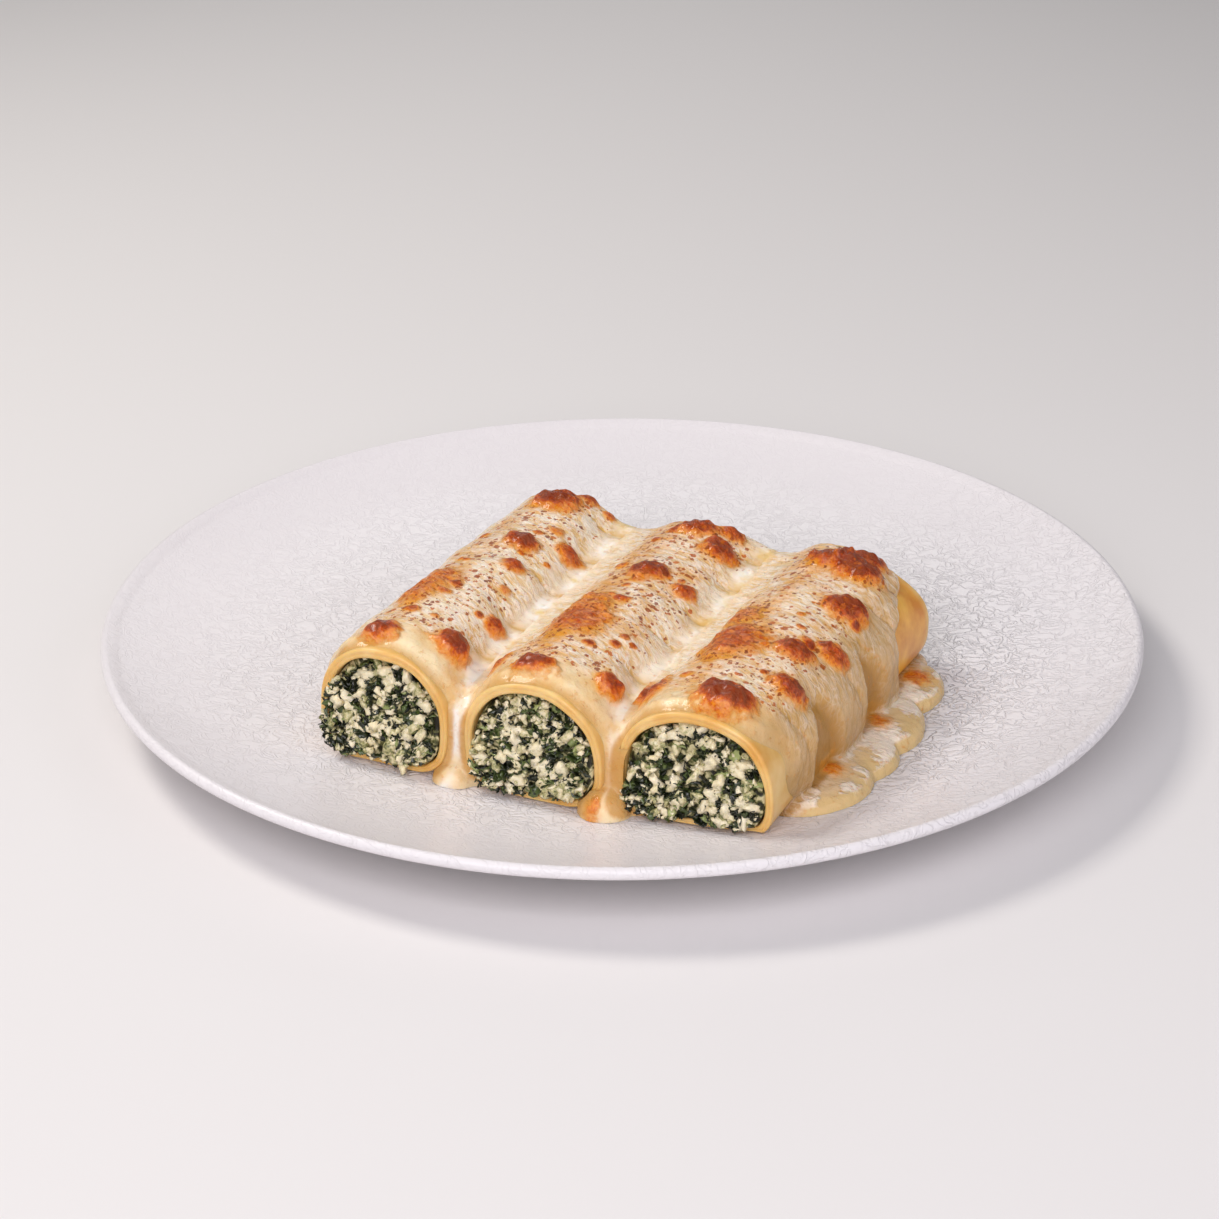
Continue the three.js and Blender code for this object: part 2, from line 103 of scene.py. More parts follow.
# Matt paint on board: pale and even, without glints.
board_paint, tree = new_material("board_matt_paint")
shader = add_node(tree, "BsdfPrincipled", inputs={"Base Color": linear(BOARD_COLOUR), "Roughness": 0.8})
add_node(tree, "OutputMaterial", inputs={"Surface": shader})
board_mesh.materials.append(board_paint)

room = bpy.data.worlds.new("room")
room.use_nodes = True
room.node_tree.nodes.clear()
sky = add_node(room.node_tree, "Background", inputs={"Color": linear(ROOM_COLOUR), "Strength": ROOM_STRENGTH})
add_node(room.node_tree, "OutputWorld", inputs={"Surface": sky})
bpy.context.scene.world = room

# Each lamp: name, place, side of the square, watts, colour. All are aimed at the food.
LAMPS = [
    ("window", (-650, -50, 900), 320, 5.7, "#fffaf3"),
    ("back_light", (-400, 830, 480), 300, 0.45, "#ffffff"),
    ("front_card", (250, -950, 700), 900, 9.8, "#fdfaff"),
    ("right_card", (950, -100, 600), 900, 2.6, "#f6f5ff"),
]
LAMP_AIM = Vector((20, -30, 20))
for name, place, side, watts, colour in LAMPS:
    lamp = bpy.data.lights.new(name, "AREA")
    lamp.size = side * MM
    lamp.energy = watts
    lamp.color = linear(colour)[:3]
    lamp_object = bpy.data.objects.new(name, lamp)
    lamp_object.location = Vector(place) * MM
    lamp_object.rotation_euler = (LAMP_AIM - Vector(place)).to_track_quat("-Z", "Y").to_euler()
    bpy.context.collection.objects.link(lamp_object)

camera_data = bpy.data.cameras.new("camera")
camera_data.lens = CAMERA_LENS
camera_data.clip_start = 10 * MM
camera = bpy.data.objects.new("camera", camera_data)
camera.location = Vector(CAMERA_PLACE) * MM
level = (Vector(CAMERA_AIM) - Vector(CAMERA_PLACE)).to_track_quat("-Z", "Y")
camera.rotation_euler = (level @ Quaternion((0, 0, 1), math.radians(CAMERA_ROLL))).to_euler()
bpy.context.collection.objects.link(camera)
bpy.context.scene.camera = camera
bpy.context.scene.view_settings.view_transform = "Standard"

# ---- Plate --------------------------------------------------------------------------------------
# A coupe plate of glazed porcelain, pressed with a fine wrinkled relief that fades towards the rim, with a
# thin rounded lip and an unglazed foot ring turned underneath.
PLATE_RADIUS = 130
RIM_HEIGHT = 17.5
WELL_HEIGHT = 8  # upper face of the flat middle
WELL_RADIUS = 75  # where the plate starts to rise
RISE_POWER = 2.2
PLATE_WALL = 3.8
LIP_RADIUS = 1.45
FOOT_RADIUS = 72
FOOT_WIDTH = 4
FOOT_ROUND = 1
FOOT_FILLET = 0.6
PLATE_TURNS = 384
RING_STEP = 1.4  # between the rings of the upper face
RELIEF_DEPTH = 0.2
RELIEF_CELL = 6.5  # across a coarse wrinkle
RELIEF_STRETCH = 1.35  # how much shorter the coarse wrinkles are along Y
RELIEF_SHARPNESS = 5  # the higher, the narrower the creases
RELIEF_FADE = (66, 112)  # radii between which the relief fades
RELIEF_LOST = 0.85  # how much of it has gone by then
RELIEF_STOP = 122  # radius where it ends
CRACKLE_CELL = 3.4  # across a fine wrinkle
NOISE_SEED = 3


def ease(share):
    """A smooth step from 0 to 1."""
    share = np.clip(share, 0, 1)
    return share * share * (3 - 2 * share)


def plate_top(radius):
    """Height of the plate's upper face at a distance from its centre."""
    rise = np.maximum(0, (radius - WELL_RADIUS) / (PLATE_RADIUS - WELL_RADIUS)) ** RISE_POWER
    return WELL_HEIGHT + (RIM_HEIGHT - WELL_HEIGHT) * rise


def turned(profile, steps, closed=False):
    """A blank turned about Z from a profile of (radius, height) points."""
    bm = bmesh.new()
    verts = [bm.verts.new((radius, 0, height)) for radius, height in profile]
    edges = [bm.edges.new(pair) for pair in zip(verts, verts[1:] + verts[:1] * closed)]
    bmesh.ops.spin(bm, geom=verts + edges, cent=(0, 0, 0), dvec=(0, 0, 0), axis=(0, 0, 1),
                   angle=math.tau, steps=steps, use_merge=True)
    bmesh.ops.remove_doubles(bm, verts=bm.verts, dist=1e-4)
    bmesh.ops.recalc_face_normals(bm, faces=bm.faces)
    return bm


def reshape(bm, move):
    """Moves every vertex, and turns the faces outwards. move takes and returns rows of x, y, z."""
    points = np.array([vert.co for vert in bm.verts])
    for vert, point in zip(bm.verts, move(points)):
        vert.co = point
    bmesh.ops.recalc_face_normals(bm, faces=bm.faces)


def add_piece(name, bm, material, nodes=()):
    """Turns a blank into a finished piece in metres, which rides on the plate and stands for CAD nodes."""
    mesh = bpy.data.meshes.new(name)
    bm.to_mesh(mesh)
    bm.free()
    mesh.transform(Matrix.Scale(MM, 4))
    mesh.shade_smooth()
    mesh.materials.append(material)
    piece = bpy.data.objects.new(name, mesh)
    bpy.context.collection.objects.link(piece)
    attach(piece, "root")
    if nodes:
        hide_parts(*nodes)
    return piece


def arc(centre, radius, start, stop, count):
    """Points of an arc from one angle to another, in degrees."""
    angles = np.radians(np.linspace(start, stop, count))
    return [(centre[0] + radius * math.cos(a), centre[1] + radius * math.sin(a)) for a in angles]


# The turned outline: the upper face from the middle outwards, round the lip, and back along the underside,
# round both edges of the foot ring.
top_profile = [(radius, float(plate_top(radius))) for radius in np.arange(0, PLATE_RADIUS - 3, RING_STEP)]
lip = arc((PLATE_RADIUS - LIP_RADIUS, RIM_HEIGHT - LIP_RADIUS), LIP_RADIUS, 105, -75, 12)
under_profile = [(radius, float(plate_top(radius)) - PLATE_WALL) for radius in np.arange(124, 78, -4.0)]
floor_height = WELL_HEIGHT - PLATE_WALL
foot = [
    *arc((FOOT_RADIUS + FOOT_WIDTH + FOOT_FILLET, floor_height - FOOT_FILLET), FOOT_FILLET, 90, 180, 4),
    *arc((FOOT_RADIUS + FOOT_WIDTH - FOOT_ROUND, FOOT_ROUND), FOOT_ROUND, 0, -90, 5),
    *arc((FOOT_RADIUS + FOOT_ROUND, FOOT_ROUND), FOOT_ROUND, -90, -180, 5),
    *arc((FOOT_RADIUS - FOOT_FILLET, floor_height - FOOT_FILLET), FOOT_FILLET, 0, 90, 4),
]
under_middle = [(radius, floor_height) for radius in (60, 40, 20, 0)]
plate_bm = turned([*top_profile, *lip, *under_profile, *foot, *under_middle], PLATE_TURNS)


def press_relief(points):
    """Presses the coarse wrinkles of the relief into the plate's upper face."""
    moved = points.copy()
    radii = np.hypot(points[:, 0], points[:, 1])
    on_top = points[:, 2] > plate_top(radii) - 0.3
    first, last = RELIEF_FADE
    fade = 1 - RELIEF_LOST * ease((radii - first) / (last - first))
    for i in np.nonzero(on_top & (radii < RELIEF_STOP))[0]:
        place = Vector((points[i, 0], points[i, 1] * RELIEF_STRETCH, 0)) / RELIEF_CELL
        warp = noise.noise_vector(place * 0.8) * 0.6
        from_crease = abs(noise.noise(place + warp))
        moved[i, 2] -= RELIEF_DEPTH * fade[i] * max(0.0, 1 - RELIEF_SHARPNESS * from_crease)
    return moved


noise.seed_set(NOISE_SEED)  # unseeded, noise_vector follows the clock
reshape(plate_bm, press_relief)


def cells_of(size):
    """Scale of a pattern whose cells are this many millimetres across."""
    return 1 / (size * MM)


# Settings that many nodes share. A place that is mixed with a share of a noise's colour moves by up to as
# many metres.
PLACES = {"data_type": "VECTOR"}
COLOURS = {"data_type": "RGBA"}
SUBTRACT = {"operation": "SUBTRACT"}
MULTIPLY = {"operation": "MULTIPLY"}
MULTIPLY_ADD = {"operation": "MULTIPLY_ADD"}

# Porcelain, pressed and glazed: a cool white body under a satin glaze, with painted shade a little darker
# in the creases of the wrinkles, which are pressed deepest on the right.
porcelain, tree = new_material("porcelain_pressed_glazed")
place = add_node(tree, "TexCoord").outputs["Object"]
warp = add_node(tree, "TexNoise", inputs={"Vector": place, "Scale": cells_of(6.25), "Detail": 3})
warped = add_node(tree, "Mix", PLACES, {0: 0.005, 4: place, 5: warp.outputs["Color"]})
creases = add_node(tree, "TexNoise", inputs={"Vector": warped, "Scale": cells_of(CRACKLE_CELL), "Detail": 2,
                                            "Roughness": 0.45, "Distortion": 1.4})
off_middle = add_node(tree, "Math", SUBTRACT, {0: creases.outputs["Fac"], 1: 0.5})
from_crease = add_node(tree, "Math", {"operation": "ABSOLUTE"}, {0: off_middle})
raised = add_node(tree, "MapRange", inputs={"Value": from_crease, "From Max": 0.09})
grain = add_node(tree, "TexNoise", inputs={"Vector": warped, "Scale": cells_of(2.381), "Detail": 4,
                                          "Roughness": 0.6})
height = add_node(tree, "Mix", inputs={0: 0.35, 2: raised, 3: grain.outputs["Fac"]})
from_centre = add_node(tree, "VectorMath", {"operation": "LENGTH"}, {0: place}).outputs["Value"]
fade = add_node(tree, "MapRange", inputs={"Value": from_centre, "From Min": 60 * MM, "From Max": 112 * MM,
                                          "To Min": 1.0, "To Max": 0.2})
axes = add_node(tree, "SeparateXYZ", inputs={"Vector": place})
to_right = add_node(tree, "MapRange", inputs={"Value": axes.outputs["X"], "From Min": 30 * MM,
                                              "From Max": 90 * MM})
to_front = add_node(tree, "MapRange", inputs={"Value": axes.outputs["Y"], "From Min": -30 * MM,
                                              "From Max": -100 * MM, "To Max": 0.38})
pressed = add_node(tree, "Math", {"operation": "MAXIMUM"}, {0: to_right, 1: to_front})
pressed_share = add_node(tree, "MapRange", inputs={"Value": pressed, "To Min": 0.28})
faded = add_node(tree, "Math", MULTIPLY, {0: height, 1: fade})
relief = add_node(tree, "Math", MULTIPLY, {0: faded, 1: pressed_share})
bump = add_node(tree, "Bump", inputs={"Distance": 1 * MM, "Height": relief})
# Painted shade: the glaze is mixed a little darker where the relief is low, in its creases.
shade = add_node(tree, "MapRange", inputs={"Value": faded, "From Min": 0.05, "From Max": 0.5})
glaze_with_crease_shade = add_node(tree, "Mix", COLOURS, {0: shade, 6: linear("#e5e0e2"), 7: linear("#ebe7e8")})
rough = add_node(tree, "MapRange", inputs={"Value": grain.outputs["Fac"], "To Min": 0.34, "To Max": 0.5})
shader = add_node(tree, "BsdfPrincipled", inputs={
    "Base Color": glaze_with_crease_shade, "Roughness": rough, "Normal": bump, "IOR": 1.5, "Coat Weight": 0.15,
    "Coat Roughness": 0.15})
add_node(tree, "OutputMaterial", inputs={"Surface": shader})
add_piece("plate_porcelain", plate_bm, porcelain, ["plate"])

# ---- Pasta tubes --------------------------------------------------------------------------------
# Fresh egg pasta sheets, each rolled into a tube of two or three layers and baked. The tubes sag to a
# flattened round, rest on the plate and show the edges of their layers at the ends.
FOOD_GAP = 0.35  # between the plate and what lies on it
RAFT_X = 18  # middle tube's axis
RAFT_FRONT = -83.5  # front ends
TUBE_LENGTH = 100
PASTA_WALL = 2
LAYERED = 0.5  # how much thicker the wall is on top, and thinner below
WAIST = 0.42  # height of the widest place, as a share of the tube's height
# How square the section is above and below that place: 2 is an ellipse.
TOP_SQUARENESS = 2.15
FOOT_SQUARENESS = 3.2
SAG_START = 80  # place along where a tube starts to sag
SAG_REACH = 20
TUBE_TURNS = 128
BLANK_RADIUS = 10

# Each tube: axis from the raft's middle, width, height, how far it is set back, how much of its height the
# outer side of its back end has lost by sagging.
TUBES = {
    "left": dict(x=-38.3, width=33.5, height=30, back=-1.2, sag=0.01),
    "middle": dict(x=0, width=34.6, height=28.9, back=-0.9, sag=0.02),
    "right": dict(x=38.6, width=37.6, height=28.7, back=2.1, sag=0.13),
}


def signed_power(value, power):
    """A power that keeps the sign."""
    return np.sign(value) * np.abs(value) ** power


def waist(tube):
    """Height of a tube's widest place."""
    return WAIST * tube["height"]


def half_section(tube, above):
    """How far the upper or lower half of a tube's section reaches from the waist, and its power."""
    reach = np.where(above, tube["height"] - waist(tube), waist(tube))
    return reach, np.where(above, 2 / TOP_SQUARENESS, 2 / FOOT_SQUARENESS)


def section_point(tube, angle, outwards=0):
    """Place on a tube's section at an angle in degrees: across, and up from the plate."""
    c, s = np.cos(np.radians(angle)), np.sin(np.radians(angle))
    reach, power = half_section(tube, s > 0)
    across = (tube["width"] / 2 + outwards) * signed_power(c, power)
    return across, waist(tube) + (reach + outwards) * signed_power(s, power)


def sagged(tube, across, along):
    """The share of its height that a tube has left after sagging on the outer side of its back end."""
    return 1 - tube["sag"] * ease((along - SAG_START) / SAG_REACH) * ease((across + 8) / SAG_REACH)


def placed(tube, across, up, along, lift=0):
    """A section point in the object's frame, lowered where the tube sags and lifted where the plate rises."""
    x = RAFT_X + tube["x"] + across
    y = RAFT_FRONT + tube["back"] + along
    floor = plate_top(np.hypot(x, y)) + FOOD_GAP + lift
    z = WELL_HEIGHT + FOOD_GAP + up * sagged(tube, across, along)
    return np.stack([x, y, np.maximum(z, floor)], axis=1)


def wall_at(angle):
    """Thickness of the wall at an angle."""
    return PASTA_WALL + LAYERED * np.sin(np.radians(angle))


def blank_polar(points):
    """Angle in degrees, radius and place along of a turned blank's points."""
    angle = np.degrees(np.arctan2(points[:, 1], points[:, 0]))
    return angle, np.hypot(points[:, 0], points[:, 1]), points[:, 2]


# The wall's line: depth into the wall from 0 outside to 1 inside, and place along. Two grooves part the
# layers of the sheet.
RING_FACE = [(0.0, 1.3), (0.0, 0.8), (0.03, 0.45), (0.1, 0.2), (0.2, 0.06), (0.32, 0.04), (0.42, 0.1),
             (0.47, 0.15), (0.52, 0.08), (0.64, 0.0), (0.76, 0.02), (0.87, 0.14), (0.95, 0.36), (0.99, 0.62),
             (1.0, 1.0)]
outer_line = [(0.0, along) for along in np.arange(TUBE_LENGTH - 3.2, 2.5, -2.1)]
inner_line = [(1.0, along) for along in (3, 8, 14, 24, 34, 50, 66, 76, 86, 92, 97)]
back_face = [(depth, TUBE_LENGTH - along) for depth, along in RING_FACE]
wall_line = [*RING_FACE, *inner_line, *back_face[::-1], *outer_line]
wall_profile = [(BLANK_RADIUS - depth, along) for depth, along in wall_line]


def baked_share(points):
    """How baked the turned wall is: 1 on its outer face towards the back, 0 on its ends and inside."""
    angle, radius, along = blank_polar(points)
    return ease((along - 50) / 20) * ease((TUBE_LENGTH - along - 0.6) / 3) * (radius > BLANK_RADIUS - 0.05)


def rolled_wall(tube, seed):
    """Presses the turned wall into the tube's section, with the small waves of a hand-rolled sheet."""
    def move(points):
        angle, radius, along = blank_polar(points)
        depth = BLANK_RADIUS - radius
        a = np.radians(angle)
        near_end = 1 - ease(np.minimum(along, TUBE_LENGTH - along) / 7)
        # The cut edge waves along the tube, and the outer face swells a little.
        wave = 0.28 * np.sin(3 * a + seed) + 0.16 * np.sin(7 * a + 2 * seed)
        swell = 0.1 * np.sin(5 * a + seed + along * 0.21) * (1 - depth)
        across, up = section_point(tube, angle, swell - depth * wall_at(angle))
        side = np.where(along < TUBE_LENGTH / 2, 1, -1)
        return placed(tube, across, up, along + side * wave * near_end, depth * (PASTA_WALL - LAYERED))
    return move


# Egg pasta, boiled and baked under sauce: smooth, golden and slightly see-through, mottled deeper where it
# dried, and more orange on its outer face towards the back.
egg_pasta, tree = new_material("egg_pasta_rolled_baked")
place = add_node(tree, "TexCoord").outputs["Object"]
mottle = add_node(tree, "TexNoise", inputs={"Vector": place, "Scale": cells_of(9.091), "Detail": 4,
                                           "Roughness": 0.55})
dried = add_node(tree, "ValToRGB", inputs={"Fac": mottle.outputs["Fac"]},
                 stops=[(0.3, linear("#dba24c")), (0.72, linear("#efcc8a")), (0.5, linear("#e6b86c"))])
outer = add_node(tree, "Attribute", {"attribute_name": "baked"}).outputs["Fac"]
baked_tone = add_node(tree, "ValToRGB", inputs={"Fac": mottle.outputs["Fac"]},
                      stops=[(0.36, linear("#d9881e")), (0.64, linear("#f6b94a"))])
golden = add_node(tree, "Mix", COLOURS, {0: outer, 6: dried, 7: baked_tone})
fine = add_node(tree, "TexNoise", inputs={"Vector": place, "Scale": cells_of(1.111), "Detail": 3})
bump = add_node(tree, "Bump", inputs={"Strength": 0.25, "Distance": 0.1 * MM, "Height": fine.outputs["Fac"]})
shader = add_node(tree, "BsdfPrincipled", inputs={
    "Base Color": golden, "Roughness": 0.36, "Normal": bump, "IOR": 1.45, "Subsurface Weight": 0.35,
    "Subsurface Radius": (1.0, 0.55, 0.2), "Subsurface Scale": 1.6 * MM, "Coat Weight": 0.12,
    "Coat Roughness": 0.2})
add_node(tree, "OutputMaterial", inputs={"Surface": shader})

for seed, (name, tube) in enumerate(TUBES.items()):
    pasta_bm = turned(wall_profile, TUBE_TURNS, closed=True)
    baked_layer = pasta_bm.verts.layers.float.new("baked")
    for vert, share in zip(pasta_bm.verts, baked_share(np.array([vert.co for vert in pasta_bm.verts]))):
        vert[baked_layer] = share
    reshape(pasta_bm, rolled_wall(tube, seed * 2.1))
    add_piece(f"pasta_{name}_rolled", pasta_bm, egg_pasta, [f"pasta_{name}"])

# ---- Filling ------------------------------------------------------------------------------------
# Chopped spinach and curd cheese, spooned into the tubes: a moist mass that fills each bore and bulges over
# its lower edge, with curds of 1 to 5 mm and crumpled scraps of leaf standing out of both faces.
FLOOR_LIFT = PASTA_WALL - LAYERED + FOOD_GAP
FACE_BULGE = 1.3  # how far the filling bulges out of a bore at its foot
FACE_SLOPE = 3.6  # how much deeper its face lies at the top
CORE_INSET = 0.9  # how far the mass lies behind the crumbs of its face
CORE_RINGS = [0.0, 0.2, 0.4, 0.6, 0.8, 0.93, 1.0]
# Crumbs on a front face and on a back face, and the clumps of curd among them.
CURD_COUNT = {-1: 200, 1: 140}
LEAF_COUNT = {-1: 330, 1: 200}
CLUMP_COUNT = 17
LEAF_THICKNESS = 0.22
GATHERING = 0.32  # turns of the noise that parts curd from leaf, per mm
STRAY_SHARE = 0.35  # how often a crumb or scrap lies among the other kind all the same
# Where filling has spilled over the wall's edge in front: first and last angle, how many crumbs and scraps.
SPILLS = {"left": (152, 246, 46, 60), "middle": (196, 262, 20, 30), "right": (186, 268, 22, 30)}


def inside_bore(angle):
    """How far inside the tube's outer face the filling ends."""
    return -wall_at(angle) - FOOD_GAP


def face_depth(tube, up):
    """How far inside the end the filling's face lies at a height: set back on top, bulging below."""
    return FACE_SLOPE * ease((up - 5) / (tube["height"] - 9)) - FACE_BULGE


def face_point(tube, side, angle, share, into=0.0):
    """A place on a face of the filling, at an angle and a share of the way out to the wall."""
    across, up = section_point(tube, angle, inside_bore(angle))
    up = waist(tube) + (up - waist(tube)) * share
    depth = face_depth(tube, up) + into
    along = np.where(side < 0, depth, TUBE_LENGTH - depth)
    return placed(tube, across * share, up, along, FLOOR_LIFT)


def packed_core(tube):
    """Presses a turned blank into the bore, its ends into the two uneven faces."""
    def move(points):
        angle, radius, along = blank_polar(points)
        share = radius / BLANK_RADIUS
        side = np.where(along < TUBE_LENGTH / 2, -1, 1)
        on_face = (along < 0.5) | (along > TUBE_LENGTH - 0.5)
        faces = face_point(tube, side, angle, share, CORE_INSET)
        across, up = section_point(tube, angle, inside_bore(angle))
        return np.where(on_face[:, None], faces, placed(tube, across, up, along, FLOOR_LIFT))
    return move


# Spinach and curd, chopped and mixed: cream smeared over near-black green, wet enough to glint.
filling_mix, tree = new_material("spinach_curd_mixed_moist")
place = add_node(tree, "TexCoord").outputs["Object"]
clumps = add_node(tree, "TexNoise", inputs={"Vector": place, "Scale": cells_of(1.923), "Detail": 3,
                                           "Distortion": 0.8})
tones = add_node(tree, "ValToRGB", inputs={"Fac": clumps.outputs["Fac"]},
                 stops=[(0.42, linear("#231f0f")), (0.58, linear("#d3c698")), (0.5, linear("#6b6a3e"))])
bump = add_node(tree, "Bump", inputs={"Strength": 0.8, "Distance": 0.6 * MM, "Height": clumps.outputs["Fac"]})
shader = add_node(tree, "BsdfPrincipled", inputs={
    "Base Color": tones, "Roughness": 0.4, "Normal": bump, "IOR": 1.4})
add_node(tree, "OutputMaterial", inputs={"Surface": shader})

# Curd cheese, crumbled: soft cream-white grains that light enters, dulled by green juice in the hollows.
curd_cheese, tree = new_material("curd_cheese_crumbled")
place = add_node(tree, "TexCoord").outputs["Object"]
tint = add_node(tree, "Attribute", {"attribute_name": "tone"})
stain = add_node(tree, "TexNoise", inputs={"Vector": place, "Scale": cells_of(1.5625), "Detail": 5,
                                          "Roughness": 0.68})
stained = add_node(tree, "Math", inputs={0: tint.outputs["Fac"], 1: stain.outputs["Fac"]})
tones = add_node(tree, "ValToRGB", inputs={"Fac": stained},
                 stops=[(0.42, linear("#444b24")), (1.0, linear("#fff0d0")), (0.54, linear("#b2ad76")),
                        (0.68, linear("#ecdeb4"))])
bump = add_node(tree, "Bump", inputs={"Strength": 0.9, "Distance": 0.5 * MM, "Height": stain.outputs["Fac"]})
shader = add_node(tree, "BsdfPrincipled", inputs={
    "Base Color": tones, "Roughness": 0.4, "Normal": bump, "IOR": 1.4, "Subsurface Weight": 0.2,
    "Subsurface Radius": (1.0, 0.8, 0.5), "Subsurface Scale": 0.8 * MM, "Coat Weight": 0.4,
    "Coat Roughness": 0.1})
add_node(tree, "OutputMaterial", inputs={"Surface": shader})

# Spinach leaf, wilted and chopped: thin crumpled scraps from near-black to fresh green, glossy with juice.
spinach_leaf, tree = new_material("spinach_leaf_wilted_chopped")
place = add_node(tree, "TexCoord").outputs["Object"]
tint = add_node(tree, "Attribute", {"attribute_name": "tone"})
tones = add_node(tree, "ValToRGB", inputs={"Fac": tint.outputs["Fac"]},
                 stops=[(0.0, linear("#12150a")), (1.0, linear("#a6ae6e")), (0.45, linear("#293215")),
                        (0.8, linear("#566532"))])
veins = add_node(tree, "TexNoise", inputs={"Vector": place, "Scale": cells_of(0.6667), "Detail": 2})
bump = add_node(tree, "Bump", inputs={"Strength": 0.5, "Distance": 0.2 * MM, "Height": veins.outputs["Fac"]})
shader = add_node(tree, "BsdfPrincipled", inputs={
    "Base Color": tones, "Roughness": 0.3, "Normal": bump, "IOR": 1.4, "Coat Weight": 0.5,
    "Coat Roughness": 0.08})
add_node(tree, "OutputMaterial", inputs={"Surface": shader})

core_profile = [
    *[(BLANK_RADIUS * share, 0) for share in CORE_RINGS],
    *[(BLANK_RADIUS, along) for along in (4, 8, 14, 24, 34, 50, 66, 76, 86, 92, 96)],
    *[(BLANK_RADIUS * share, TUBE_LENGTH) for share in reversed(CORE_RINGS)],
]
for name, tube in TUBES.items():
    core_bm = turned(core_profile, 72)
    reshape(core_bm, packed_core(tube))
    add_piece(f"filling_{name}_core", core_bm, filling_mix, [f"filling_{name}"])

draw = random.Random(41)


def face_spot(tube, side, margin, into, curdy):
    """A random spot on a face, a margin inside the bore's wall, mostly where its kind has gathered."""
    while True:
        angle = draw.uniform(0, 360)
        share = math.sqrt(draw.random()) * (1 - margin / (tube["width"] / 2 - PASTA_WALL))
        spot = Vector(face_point(tube, side, np.array([angle]), np.array([share]), into)[0])
        if (noise.noise(spot * GATHERING) > 0) == curdy or draw.random() < STRAY_SHARE:
            return spot


def tumble():
    """A random turn in space."""
    axis = Vector([draw.gauss(0, 1) for _ in range(3)]).normalized()
    return Matrix.Rotation(draw.uniform(0, math.tau), 4, axis)


def pour_in(heap, crumb):
    """Adds one small blank to a heap."""
    scrap = bpy.data.meshes.new("scrap")
    crumb.to_mesh(scrap)
    crumb.free()
    heap.from_mesh(scrap)
    bpy.data.meshes.remove(scrap)


def scatter_curd(heap, centre, radius):
    """One crumb of curd: a lumpy ball, wider than it is deep."""
    bm = bmesh.new()
    tone_layer = bm.verts.layers.float.new("tone")
    blank = bmesh.ops.create_icosphere(bm, subdivisions=2, radius=1)["verts"]
    seat = Vector([draw.uniform(0, 99) for _ in range(3)])
    turn = tumble()
    stretch = Vector((1.15, draw.uniform(0.55, 0.95), draw.uniform(0.5, 0.9)))
    tone = draw.uniform(0.02, 0.42)
    for vert in blank:
        lump = 1 + 0.8 * noise.noise(vert.co * 1.4 + seat) + 0.6 * noise.noise(vert.co * 3.2 + seat)
        vert.co = centre + turn @ Vector([radius * lump * s * c for s, c in zip(stretch, vert.co)])
        vert[tone_layer] = tone
    pour_in(heap, bm)


def scatter_leaf(heap, centre, length):
    """One scrap of leaf: a narrow strip, crumpled and given its thickness."""
    bm = bmesh.new()
    tone_layer = bm.verts.layers.float.new("tone")
    strip = bmesh.ops.create_grid(bm, x_segments=5, y_segments=3, size=0.5)["verts"]
    faces = list({face for vert in strip for face in vert.link_faces})
    seat = Vector([draw.uniform(0, 99) for _ in range(3)])
    turn = tumble()
    width = length * draw.uniform(0.4, 0.75)
    curl = draw.uniform(0.2, 0.7)
    for vert in strip:
        x, y = vert.co.x * length, vert.co.y * width * (1 - 0.9 * vert.co.x ** 2)
        crumple = noise.noise_vector(Vector((x, y, 0)) * 0.9 + seat) * 0.9
        crumple += noise.noise_vector(Vector((x, y, 0)) * 2.2 + seat) * 0.35
        vert.co = centre + turn @ (Vector((x, y, curl * math.sin(x * 1.3 + seat.x))) + crumple)
    made = bmesh.ops.solidify(bm, geom=faces, thickness=LEAF_THICKNESS)["geom"]
    tone = draw.random() ** 1.5
    for vert in {*strip, *[part for part in made if isinstance(part, bmesh.types.BMVert)]}:
        vert[tone_layer] = tone
    bmesh.ops.recalc_face_normals(bm, faces=bm.faces)
    pour_in(heap, bm)


curd_bm = bmesh.new()
leaf_bm = bmesh.new()
for name, tube in TUBES.items():
    for side in (-1, 1):
        for _ in range(CURD_COUNT[side]):
            radius = 0.5 + 1.45 * draw.random() ** 2
            scatter_curd(curd_bm, face_spot(tube, side, radius, 0.15, True), radius)
        for _ in range(CLUMP_COUNT):
            middle = face_spot(tube, side, 1.6, 0.1, True)
            for _ in range(draw.randint(3, 6)):
                offset = Vector([draw.gauss(0, 0.75) for _ in range(3)])
                scatter_curd(curd_bm, middle + offset, draw.uniform(0.6, 1.15))
        for _ in range(LEAF_COUNT[side]):
            scatter_leaf(leaf_bm, face_spot(tube, side, 0.9, 0.1, False), draw.uniform(1.3, 3.2))
    first, last, crumbs, scraps = SPILLS[name]
    for i in range(crumbs + scraps):
        angle = draw.uniform(first, last)
        share = draw.uniform(0.96, 1.02 + 0.08 * math.sin(math.pi * (angle - first) / (last - first)))
        spot = Vector(face_point(tube, -1, np.array([angle]), np.array([share]), draw.uniform(-0.6, 0.2))[0])
        if i < crumbs:
            scatter_curd(curd_bm, spot, draw.uniform(0.4, 0.8))
        else:
            scatter_leaf(leaf_bm, spot, draw.uniform(1.0, 2.2))
add_piece("filling_curds", curd_bm, curd_cheese)
add_piece("filling_leaves", leaf_bm, spinach_leaf)

